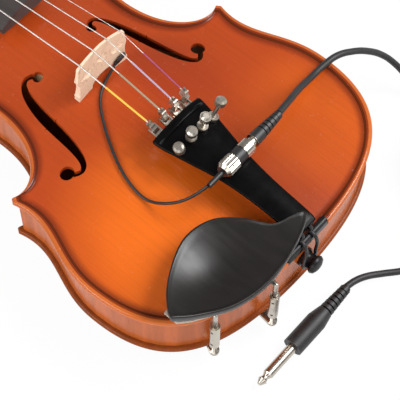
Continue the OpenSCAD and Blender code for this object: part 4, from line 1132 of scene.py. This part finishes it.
class VIOLIN_OT_ribs(bpy.types.Operator):
    """Dress the ribs and the bare wood inside the body."""

    bl_idname = "violin.ribs"
    bl_label = "Ribs and inside"

    def execute(self, context):
        for node in ("upper_ribs", "waist_ribs", "lower_ribs"):
            smooth_copy(node, "rib varnish")
        dress("bare spruce", "linings", "corner_blocks", "neck_block", "end_block", "bass_bar", "sound_post")
        return {"FINISHED"}


class VIOLIN_OT_neck(bpy.types.Operator):
    """Carve the neck with its heel, pegbox and scroll, and dress the fingerboard and pegs."""

    bl_idname = "violin.neck"
    bl_label = "Neck and scroll"

    # Half width and thickness at the nut, and how much they grow along the board and the neck
    NUT_HALF = 12
    HALF_GROWS = 9.25 / 270
    SIDE_STEP = 0.3
    NUT_THICK = 13
    THICK_GROWS = 2.4 / 130
    # Where the heel starts, how far it takes to become square and deep, and its half width
    HEEL_Y = 395
    SQUARE_RUN = 31
    DEEP_RUN = 34
    HEEL_HALF = 10.6
    ROOT_HALF = 12
    GLUE_GAP = 0.1
    # The pegbox: its hollow's ends, half widths and floor, its walls over the pegs, and its back's line
    BOX_FROM = 492.7
    BOX_TO = 548
    BOX_HALF = (12, 8.6)
    BOX_HALF_FROM = 482
    BOX_HALF_RUN = 96
    HOLLOW_HALF = (8.8, 4.9)
    HOLLOW_RUN = 56
    HOLLOW_DROP = 5.2
    WALL_RISE = 9.5
    WALL_FROM = 492.4
    BACK_ROUND = 3.2
    BOX_BACK = ((480, 31), (496, 25.4), (524, 15.8), (546, 7.5), (556, 4.4), (562, 2.9), (568, 2.6))
    # Stations along the pegbox, close together where its hollow starts and ends
    BOX_PLACES = (483.5, 486, 489, 492, 492.5, 492.72, 493.4, 494.4, 495.6, 497, 500,
                  *range(504, 545, 4), 546, 547.6, 547.98, 548.02, 550, 552, 553.5, *range(555, 566, 2))
    # The scroll's first and last radius, its start and its turns
    SCROLL_RADIUS = 24
    SCROLL_LAST = 5.2
    SCROLL_START = math.radians(-118)
    SCROLL_STEPS = 110
    TURNS = 2.3
    # Half length and radius of the eye's bevelled ends
    EYE = ((20.4, 3.6), (19.8, 4.9), (18, 5.4))

    def glue(self, y):
        return NUT_GLUE_Z + (NUT_Y - y) * math.tan(BOARD_TILT)

    def shaft(self, y):
        """Loop across the neck: flat under the board, rounded behind, and deep and square at the heel."""
        wide = self.NUT_HALF + self.HALF_GROWS * (NUT_Y - y) - self.SIDE_STEP
        heel = ease(0, 1, (self.HEEL_Y - y) / self.SQUARE_RUN)
        slim = self.NUT_THICK + self.THICK_GROWS * (NUT_Y - y)
        deep = blend(slim, self.glue(y) - BACK_Z - self.GLUE_GAP, smooth((self.HEEL_Y - y) / self.DEEP_RUN))
        power = 2 / (2 + 3 * heel)
        points = []
        for k in range(29):
            a = math.pi * k / 28
            drop = math.sin(a) ** power
            side = blend(wide, self.HEEL_HALF, drop * heel)
            run = math.copysign(abs(math.cos(a)) ** power, math.cos(a))
            points.append(at(side * run, y, self.glue(y) - deep * drop))
        points += [at(wide * t, y, self.glue(y)) for t in (-0.6, -0.2, 0.2, 0.6)]
        return points

    def box(self, y):
        """Loop across the pegbox: a rounded back, two walls and the hollow between them."""
        low = min(through(self.BOX_BACK, 12), key=lambda p: abs(p[0] - y))[1]
        half = blend(*self.BOX_HALF, (y - self.BOX_HALF_FROM) / self.BOX_HALF_RUN)
        lip = peg_z(y) + self.WALL_RISE - ease(0, 16, (y - 552) / 14)
        if y < self.WALL_FROM:
            lip = self.glue(y)
        inner = blend(*self.HOLLOW_HALF, (y - self.BOX_FROM) / self.HOLLOW_RUN)
        floor = lip - 0.02
        if self.BOX_FROM < y < self.BOX_TO:
            floor = max(peg_z(y) - self.HOLLOW_DROP, self.glue(y) - 1 - 3 * (y - self.BOX_FROM))
        soft = self.BACK_ROUND
        right = [(half * 0.35, low), (half - soft, low + 0.15), (half - 0.9, low + 1.1), (half, low + soft),
                 (half, (low + lip) / 2), (half, lip - 0.7), (half - 0.25, lip - 0.2), (half - 0.8, lip),
                 (inner + 0.5, lip), (inner, lip - min(0.5, (lip - floor) * 0.4)),
                 (inner, floor + min(1.5, (lip - floor) * 0.3)), (inner - 1.2, floor), (inner * 0.4, floor)]
        return [at(x, y, z) for x, z in right + flipped(right[::-1])]

    def scroll(self, bm):
        """A fluted band that winds in from the pegbox's back and widens to its eye."""
        rings = []
        last = self.SCROLL_LAST / self.SCROLL_RADIUS
        for k in range(self.SCROLL_STEPS + 1):
            t = k / self.SCROLL_STEPS
            turn = self.SCROLL_START + 2 * math.pi * self.TURNS * t
            rho = self.SCROLL_RADIUS * last ** t
            later = t + 1 / self.TURNS
            core = max(0.5, 4 - 6 * (later - 1))
            if later < 1:
                core = self.SCROLL_RADIUS * last ** later - 0.8
            half = ease(9.2, 7.2, t / 0.16) + 12.6 * t ** 1.15
            right = [(0, rho - 0.15), (half * 0.25, rho - 0.9), (half * 0.5, rho - 1.5),
                     (half * 0.75, rho - 0.9), (half - 0.7, rho - 0.1), (half - 0.15, rho - 0.35),
                     (half, rho - 1.1), (half - 0.5, rho - 2.0), (half - 1.3, rho - 0.45 * (rho - core)),
                     (half - 1.6, core + 0.6), (half - 2, core)]
            rings.append([at(x, SCROLL_Y + r * math.cos(turn), SCROLL_Z + r * math.sin(turn))
                          for x, r in right + flipped(right[:0:-1])])
        loft(bm, rings, True)
        ends = [*flipped(self.EYE), *self.EYE[::-1]]
        rings = []
        for x, radius in ends:
            reach = radius * MM
            rings.append(oval(at(x, SCROLL_Y, SCROLL_Z), Vector((0, reach, 0)), Vector((0, 0, reach)), 32))
        loft(bm, rings, True)

    def execute(self, context):
        bm = new_bmesh()
        loft(bm, [self.shaft(LENGTH + (NUT_Y + 1 - LENGTH) * k / 60) for k in range(61)], True)
        low = BACK_Z + self.GLUE_GAP
        high = TOP_Z - self.GLUE_GAP
        half = self.ROOT_HALF
        root = ((-half, low), (half, low), (half, high), (-half, high))
        loft(bm, [[at(x, y, z) for x, z in root] for y in (LENGTH - 2.8, LENGTH + 1)], True)
        loft(bm, [self.box(y) for y in self.BOX_PLACES], True)
        self.scroll(bm)
        mesh = to_mesh(bm, "neck_carved", 32)
        add_object("neck_carved", mesh, "neck varnish", ["neck"])
        # The board finish carries a painted sheen
        smooth_copy("fingerboard", "board", 25.0)
        for note in "gdae":
            smooth_copy("peg_" + note, "ebony")
        smooth_copy("nut", "ebony")
        return {"FINISHED"}


class VIOLIN_OT_bridge(bpy.types.Operator):
    """Cut the bridge with its heart, kidneys, waist and feet."""

    bl_idname = "violin.bridge"
    bl_label = "Bridge"

    HALF = 20.75
    CROWN_HALF = 19.0
    BEVEL = 0.12

    def outline(self):
        """Loop of the bridge's face: feet, arch between them, waist and crown."""
        w = self.HALF
        z = BRIDGE_Z
        sole = [(x, belly_z(x, BRIDGE_Y + BRIDGE_FOOT) + 0.18) for x in (w - 0.35 * k for k in range(33))]
        span = [((w - 11.6) * math.cos(math.radians(a)), z + 1.5 + 4.9 * math.sin(math.radians(a)))
                for a in range(6, 91, 6)]
        flank = through([(w - 0.3, z - 1.4), (w - 0.1, z + 0.9), (w - 0.9, z + 2.4), (w - 1.4, z + 5.2),
                         (w - 1.6, z + 8.6), (w - 1.4, z + 11.8), (w - 0.7, z + 13.8), (w - 0.1, z + 15.6),
                         (w - 0.3, z + 18), (w - 0.9, z + 20.4), (19.4, bridge_top(19.4) - 0.5)], 5)
        crown = [(x, bridge_top(x)) for x in (self.CROWN_HALF * k / 18 for k in range(18, -19, -1))]
        left = [(-19.4, bridge_top(-19.4) - 0.5), *flipped(flank[-2::-1])]
        between_feet = [*flipped(span), *span[-2::-1]]
        return [*sole[::-1], *flank, *crown, *left, *flipped(sole), *between_feet]

    def holes(self):
        """Loops of the heart and the two kidneys."""
        z = BRIDGE_Z
        w = self.HALF
        heart = through([(0, z + 17.2), (1.6, z + 18.8), (3.6, z + 20.4), (3.9, z + 22), (2.7, z + 23.3),
                         (0.9, z + 22.7), (0, z + 21.6), (-0.9, z + 22.7), (-2.7, z + 23.3), (-3.9, z + 22),
                         (-3.6, z + 20.4), (-1.6, z + 18.8)], 5, True)
        kidney = through([(w - 12.6, z + 17), (w - 11.6, z + 19.3), (w - 9.4, z + 20.1), (w - 7.2, z + 19.2),
                          (w - 6.2, z + 17.9), (w - 3.4, z + 17.2), (w - 3.2, z + 15.6), (w - 6.2, z + 15.2),
                          (w - 8, z + 14), (w - 10.4, z + 14), (w - 12.2, z + 15.2)], 5, True)
        return [heart, kidney, flipped(kidney)]

    def execute(self, context):
        flat = bpy.data.curves.new("bridge_face", "CURVE")
        flat.dimensions = "2D"
        flat.fill_mode = "BOTH"
        flat.extrude = 0.5 - self.BEVEL
        flat.bevel_depth = self.BEVEL
        flat.bevel_resolution = 2
        flat.offset = -self.BEVEL
        for loop in (self.outline(), *self.holes()):
            spline = flat.splines.new("POLY")
            spline.points.add(len(loop) - 1)
            for dot, point in zip(spline.points, loop):
                dot.co = (point[0], point[1], 0, 1)
            spline.use_cyclic_u = True
        holder = bpy.data.objects.new("bridge_face", flat)
        mesh = bpy.data.meshes.new_from_object(holder)
        bpy.data.objects.remove(holder)
        bpy.data.curves.remove(flat)
        bm = bmesh.new()
        bm.from_mesh(mesh)
        bpy.data.meshes.remove(mesh)
        weld(bm, 0.001)
        for vert in bm.verts:
            x, z, across = vert.co
            share = clamp01((z - BRIDGE_Z) / BRIDGE_HEIGHT)
            thick = blend(BRIDGE_FOOT, BRIDGE_TOP, share)
            vert.co = at(x, BRIDGE_Y + thick * (0.5 + across), z)
        mesh = to_mesh(bm, "bridge_carved", 40)
        for face in mesh.polygons:
            face.use_smooth = abs(face.normal.y) < 0.95
        add_object("bridge_carved", mesh, "bridge maple", ["bridge"])
        return {"FINISHED"}


class VIOLIN_OT_tailpiece(bpy.types.Operator):
    """Form the tailpiece, its fret, the gut, the saddle and the endpin."""

    bl_idname = "violin.tailpiece"
    bl_label = "Tailpiece"

    # Half width and place of the side's points, in the tailpiece's own frame
    SIDE = ((5.6, -0.2), (7, 0.2), (8.5, 3), (9.5, 32.3), (11.6, 52.9), (15.2, 70.6), (19, 88.2), (20, 95.6),
            (19.9, 97.2), (19.3, 98))

    TAIL_END = 98
    END_SINK = 0.9
    END_ROUND = 2.2
    SIDE_ROUND = 1.1
    SIDE_DROP = 1.2
    # The thick block over the gut: where it ends, its underside, and how the wall thins behind it
    BLOCK_TO = 12
    BLOCK_LOW = -9.0
    BLOCK_WALL = 5.2
    THIN_FROM = 9
    THIN_RUN = 8

    FRET_Y = 93.5
    FRET_HALF = 18.2
    FRET_WIDE = 1.25
    FRET_TALL = 1.5

    GUT_RADIUS = 1.1
    GUT_BEND = 3.65

    def section(self, half, y, sink):
        """Loop round the tailpiece at one place: an arched top, rounded sides and a thin underside."""
        flat = half - self.SIDE_ROUND
        edge = round_drop(flat, TAIL_RADIUS) - sink - self.SIDE_DROP
        deep = ease(TAIL_WALL + self.BLOCK_WALL, TAIL_WALL, (y - self.THIN_FROM) / self.THIN_RUN)
        top = [flat * math.sin(math.pi / 2 * k / 10) for k in range(-10, 11)]
        points = [(x, y, round_drop(x, TAIL_RADIUS) - sink) for x in top]
        points += [(flat + self.SIDE_ROUND * math.cos(a), y, edge + self.SIDE_DROP * math.sin(a))
                   for a in map(math.radians, (60, 30, 0, -30, -60))]
        for x in top[::-1]:
            low = round_drop(x, TAIL_RADIUS) - deep
            if y < self.BLOCK_TO:
                low = min(round_drop(x, TAIL_RADIUS) - sink - TAIL_WALL, self.BLOCK_LOW)
            points.append((x, y, low))
        points += [(-flat + self.SIDE_ROUND * math.cos(a), y, edge + self.SIDE_DROP * math.sin(a))
                   for a in map(math.radians, (240, 210, 180, 150, 120))]
        return [on_tailpiece(*p) for p in points]

    def fret(self, bm):
        """The raised ridge near the front."""
        rings = []
        for k in range(-14, 15):
            x = self.FRET_HALF * k / 14
            h = round_drop(x, TAIL_RADIUS)
            lift = self.FRET_TALL * clamp01((1 - abs(k) / 14) * 5)
            ring = []
            for a in (math.pi * j / 8 for j in range(9)):
                rise = (lift + 0.3) * max(0, math.sin(a)) ** 0.7
                ring.append((x, self.FRET_Y + self.FRET_WIDE * math.cos(a), h - 0.3 + rise))
            ring.append((x, self.FRET_Y - self.FRET_WIDE, h - 0.6))
            ring.append((x, self.FRET_Y + self.FRET_WIDE, h - 0.6))
            rings.append([on_tailpiece(*p) for p in ring])
        loft(bm, rings, True)

    def execute(self, context):
        rings = []
        for half, y in through(self.SIDE, 4):
            end = min(y + 0.2, self.TAIL_END - y)
            sink = self.END_SINK * (1 - clamp01(end / self.END_ROUND)) ** 2
            rings.append(self.section(half, y, sink))
        bm = new_bmesh()
        loft(bm, rings, True)
        self.fret(bm)
        add_object("tailpiece_moulded", to_mesh(bm, "tailpiece_moulded", 40), "composite",
                   ["tailpiece"])
        bend = self.GUT_BEND * math.sqrt(0.5)
        half = [(3.6, 22.7, 64.5), (3.6, 3, 61.3), (4.2, 3.4, 51.4 + self.GUT_BEND),
                (4.4, 3.4 - bend, 51.4 + bend), (4.6, -1.1, 51.6), (PIN_LOOP - 0.2, PIN_Y, PIN_Z + 3)]
        half += [(PIN_LOOP * math.cos(a), PIN_Y, PIN_Z - PIN_LOOP * math.sin(a))
                 for a in map(math.radians, (0, 30, 60))]
        loop = [*half, (0, PIN_Y, PIN_Z - PIN_LOOP), *flipped(half[::-1])]
        loop = [at(*p) for p in loop]
        rod("gut_loop", loop, self.GUT_RADIUS * MM, "wire skin", ["tail_gut"])
        smooth_copy("saddle", "ebony")
        smooth_copy("endpin", "ebony")
        return {"FINISHED"}


class VIOLIN_OT_strings(bpy.types.Operator):
    """Run the four strings from the tuners to the pegs, with their coloured silk."""

    bl_idname = "violin.strings"
    bl_label = "Strings"

    # Each string's row from the middle line, its thickness, and how many pegs are nearer to the nut
    STRINGS = {"g": (-1.5, 0.82, 0), "d": (-0.5, 0.76, 2), "a": (0.5, 0.68, 3), "e": (1.5, 0.4, 1)}
    HOOK_SPACING = 9.2
    HOOK_Y = 106.6
    HOOK_RISE = 2.45
    BRIDGE_SPACING = 11.2
    NUT_SPACING = 5.5
    NUT_RISE = 7.15
    NUT_DEPTH = 6.6
    PEG_SHARE = 0.55
    PEG_RISE = 4.15
    GROOVE = 0.25
    SILK_START = 1.2
    SILK_WALL = 0.2

    def path(self, row, thick, peg):
        """The string's points at its hook, the bridge, both edges of the nut and its peg."""
        x = self.HOOK_SPACING * row
        grow = (TAIL_RADIUS + self.HOOK_RISE) / TAIL_RADIUS
        hook = on_tailpiece(x * grow, self.HOOK_Y, math.sqrt(TAIL_RADIUS ** 2 - x * x) * grow - TAIL_RADIUS)
        x = self.BRIDGE_SPACING * row
        bridge = at(x, BRIDGE_Y + BRIDGE_TOP / 2, bridge_top(x) + self.GROOVE + thick / 2)
        x = self.NUT_SPACING * row
        z = NUT_GLUE_Z + self.NUT_RISE + round_drop(x, CROWN_RADIUS) + thick / 2
        nut = [at(x, NUT_Y + back, z - NUT_FALL * back) for back in (0, self.NUT_DEPTH)]
        y = PEG_FROM + PEG_PITCH * peg
        return [hook, bridge, *nut, at(self.PEG_SHARE * x, y, peg_z(y) + self.PEG_RISE + thick / 2)]

    def execute(self, context):
        shape = context.scene.violin_shape
        for name, (row, thick, peg) in self.STRINGS.items():
            path = self.path(row, thick, peg)
            radius = thick * MM / 2
            skin = "plain steel" if name == "e" else "string"
            rod("string_%s_wound" % name, path, radius, skin, ["string_" + name], "POLY")
            run = (path[1] - path[0]).normalized()
            ends = [path[0] + run * far for far in (self.SILK_START * MM, shape.silk_length)]
            radius += self.SILK_WALL * MM
            rod("silk_" + name, ends, radius, "silk " + name, kind="POLY")
        return {"FINISHED"}


class VIOLIN_OT_chin_rest(bpy.types.Operator):
    """Form the chin rest's cup, lip and foot, and dress its cork and clamps."""

    bl_idname = "violin.chin_rest"
    bl_label = "Chin rest"

    # The rest's place on the bass side of the tail bout
    REST = Vector((-56.4034, 6.33777))
    CUP = ((-37.1, 16.7), (-21.6, 31.7), (3.4, 43), (23.4, 39.7), (35.9, 26.7), (43.4, 11.2), (53.4, 4.7),
           (57.7, 0.2), (51.4, -4.5), (32.4, -8.9), (12.4, -9.6), (-7.6, -5.1), (-23.6, 3.9), (-34.1, 11.2))
    SPINE = (REST + Vector((-12, 17)), REST + Vector((42, 2.5)))
    # The cup's round faces have one middle
    CENTRE = REST + Vector((8.4, 15.7))
    CENTRE_Z = 176
    INNER = 110
    OUTER = 116
    FOOT_X = (-87, -27)
    FOOT_Y = 33
    FOOT_Z = 53.3
    DISH = Vector((3, 16.5))
    DISH_RADII = (34, 23)
    DISH_TURN = math.radians(-8)
    DISH_DEPTH = 2.6
    RIM_DROP = 0.62
    TAIL_HALF = 10.5
    TAIL_CLEAR = 0.9
    # The largest share of the way to the spine that the rounded edge takes up
    EDGE_SHARE = 0.18
    # Inset from the edge and height over the underside, then inset and depth under the upper face
    LOWER_EDGE = ((2.4, 0), (1.2, 0.3), (0.45, 0.9), (0.1, 1.7))
    UPPER_EDGE = ((0, 1.5), (0.12, 0.9), (0.4, 0.4), (0.9, 0.08), (1.5, 0), (2.1, 0.1), (3, 0.4),
                  (4.4, RIM_DROP))
    # Inset and lift of the foot's lower points, with None where it meets the shell
    FOOT_SECTION = ((1.2, 0), (10.2, 0), (11, 0.6), (11, 3), (11, None), (5.7, None), (0.4, None), (0.4, 3),
                    (0.4, 0.6))

    def dish(self, p):
        """Depth of the hollow for the chin under the shell's plain round face."""
        x, y = Matrix.Rotation(-self.DISH_TURN, 2) @ (p - self.REST - self.DISH)
        along = x / self.DISH_RADII[0]
        across = y / self.DISH_RADII[1]
        return self.DISH_DEPTH * max(0.0, 1 - along * along - across * across) ** 2

    def sphere(self, p, radius):
        """Height of the round face of that radius at a point."""
        return self.CENTRE_Z - math.sqrt(radius ** 2 - (p - self.CENTRE).length_squared)

    def under(self, p):
        """Height of the shell's underside, clear of the tailpiece."""
        low = self.sphere(p, self.OUTER)
        if abs(p.x) < self.TAIL_HALF:
            tail = TAIL_AT[1] + (p.y - TAIL_AT[0]) * math.tan(TAIL_TILT) + round_drop(p.x, TAIL_RADIUS)
            low = max(low, tail + self.TAIL_CLEAR)
        return low

    def shell(self, bm):
        """The cup: its underside, a rounded edge and the hollowed upper face."""
        loop = [self.REST + p for p in through(self.CUP, 6, True)]
        a, b = self.SPINE
        looks = []
        for p in loop:
            t = clamp01((p - a).dot(b - a) / (b - a).length_squared)
            looks.append(blend(a, b, t))
        rings = []
        deepest = self.UPPER_EDGE[-1][0]

        def add(rise, share=0, inset=0):
            ring = []
            for p, s in zip(loop, looks):
                away = s - p
                tight = min(1.0, away.length * self.EDGE_SHARE / deepest)
                moved = p + away * share + away.normalized() * inset * tight
                ring.append(at(moved.x, moved.y, rise(moved)))
            rings.append(ring)

        def face(p):
            return self.sphere(p, self.INNER) - self.dish(p)

        for share in (1, 0.8, 0.6, 0.4, 0.22):
            add(self.under, share)
        for inset, rise in self.LOWER_EDGE:
            add(lambda p, r=rise: self.under(p) + r, inset=inset)
        for inset, drop in self.UPPER_EDGE:
            add(lambda p, d=drop: face(p) - d, inset=inset)
        for k in range(13):
            add(lambda p: face(p) - self.RIM_DROP, 0.22 + 0.065 * k)
        loft(bm, rings)
        weld(bm)

    def foot(self, bm):
        """The block that follows the belly's edge and carries the shell."""
        rings = []
        for p, s in Plan(8).loop:
            if not (self.FOOT_X[0] < p.x < self.FOOT_X[1] and p.y < self.FOOT_Y):
                continue
            run = (s - p).normalized()
            ring = []
            for inset, lift in self.FOOT_SECTION:
                q = p + run * inset
                z = self.sphere(q, self.OUTER) + 1.2 if lift is None else self.FOOT_Z + lift
                ring.append(at(q.x, q.y, z))
            rings.append(ring)
        loft(bm, rings, True)

    def execute(self, context):
        bm = new_bmesh()
        self.shell(bm)
        self.foot(bm)
        add_object("chin_rest", to_mesh(bm, "chin_rest", 40), "chin rest", ["chinrest"])
        smooth_copy("chinrest_cork", "cork")
        for node in ("clamp_legs", "clamp_barrel_1", "clamp_barrel_2", "clamp_foot_1", "clamp_foot_2"):
            smooth_copy(node, "nickel")
        return {"FINISHED"}


class VIOLIN_OT_metalwork(bpy.types.Operator):
    """Dress the tuners, the pickup and the plugs."""

    bl_idname = "violin.metalwork"
    bl_label = "Tuners and plugs"

    # The pickup strip's ends in x, the rise of its middle over the node, its half height and half depth
    STRIP_X = (9.6, 17.2)
    STRIP_RISE = (2.4, 4.0)
    STRIP_TALL = 1.7
    STRIP_DEEP = 1.1
    STRIP_BACK = 1.2
    # The wire's stub: its place from the bridge's foot, and how far along and how wide its rings are
    STUB_AT = (8.45, -1.4, 5.6)
    STUB_RADIUS = 1.1
    STUB_SECTION = ((0, 0.85), (0.2, 1), (3, 1), (3.6, 0.9))

    def pickup(self):
        """A slim strip in the bridge's treble wing, with a rounded face and a stub for its wire."""
        low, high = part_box("pickup")
        bm = new_bmesh()
        rings = []
        for k in range(15):
            t = k / 14
            full = math.sqrt(max(0.0, 1 - (2 * t - 1) ** 8))
            middle = Vector((blend(*self.STRIP_X, t) * MM, high.y - self.STRIP_BACK * MM,
                             low.z + blend(*self.STRIP_RISE, t) * MM))
            deep = Vector((0, self.STRIP_DEEP * full + 0.1, 0)) * MM
            tall = Vector((0, 0, self.STRIP_TALL * full + 0.3)) * MM
            rings.append(oval(middle, deep, tall, 20))
        loft(bm, rings, True)
        x, y, z = self.STUB_AT
        stub = at(x, BRIDGE_Y + y, BRIDGE_Z + z)
        rings = []
        for along, share in self.STUB_SECTION:
            middle = stub + Vector((self.STUB_RADIUS * along * MM, 0, 0))
            radius = self.STUB_RADIUS * share * MM
            rings.append(oval(middle, Vector((0, radius, 0)), Vector((0, 0, radius)), 16))
        loft(bm, rings, True)
        strip = to_mesh(bm, "pickup_strip", 40)
        add_object("pickup_strip", strip, "pickup black", ["pickup"])

    def execute(self, context):
        for note in "gdae":
            dress("nickel", "tuner_screw_" + note, "tuner_knob_" + note, "tuner_lever_" + note)
        dress("nickel", "tuner_brackets", "tuner_nuts")
        self.pickup()
        dress("socket", "pickup_socket")
        dress("phono", "phono_plug")
        dress("plug black", "jack_body")
        dress("plug nickel", "jack_shank")
        return {"FINISHED"}


OPERATORS = (
    VIOLIN_OT_stage, VIOLIN_OT_leads, VIOLIN_OT_belly, VIOLIN_OT_back, VIOLIN_OT_purfling, VIOLIN_OT_ribs,
    VIOLIN_OT_neck, VIOLIN_OT_bridge, VIOLIN_OT_tailpiece, VIOLIN_OT_strings, VIOLIN_OT_chin_rest,
    VIOLIN_OT_metalwork,
)


class VIOLIN_PT_panel(bpy.types.Panel):
    """Buttons that build the violin's looks, in order."""

    bl_idname = "VIOLIN_PT_panel"
    bl_label = "Violin"
    bl_space_type = "VIEW_3D"
    bl_region_type = "UI"
    bl_category = "Violin"

    def draw(self, context):
        for operator in OPERATORS:
            self.layout.operator(operator.bl_idname)


GROUPS = {"violin_shape": ViolinShape, "violin_colours": ViolinColours, "violin_stage": ViolinStage}


def register():
    for name, group in GROUPS.items():
        bpy.utils.register_class(group)
        setattr(bpy.types.Scene, name, bpy.props.PointerProperty(type=group))
    for item in (*OPERATORS, VIOLIN_PT_panel):
        bpy.utils.register_class(item)


def unregister():
    for item in (VIOLIN_PT_panel, *reversed(OPERATORS)):
        bpy.utils.unregister_class(item)
    for name, group in GROUPS.items():
        delattr(bpy.types.Scene, name)
        bpy.utils.unregister_class(group)


def main():
    register()
    for operator in OPERATORS:
        area, name = operator.bl_idname.split(".")
        getattr(getattr(bpy.ops, area), name)()


if __name__ == "__main__":
    main()
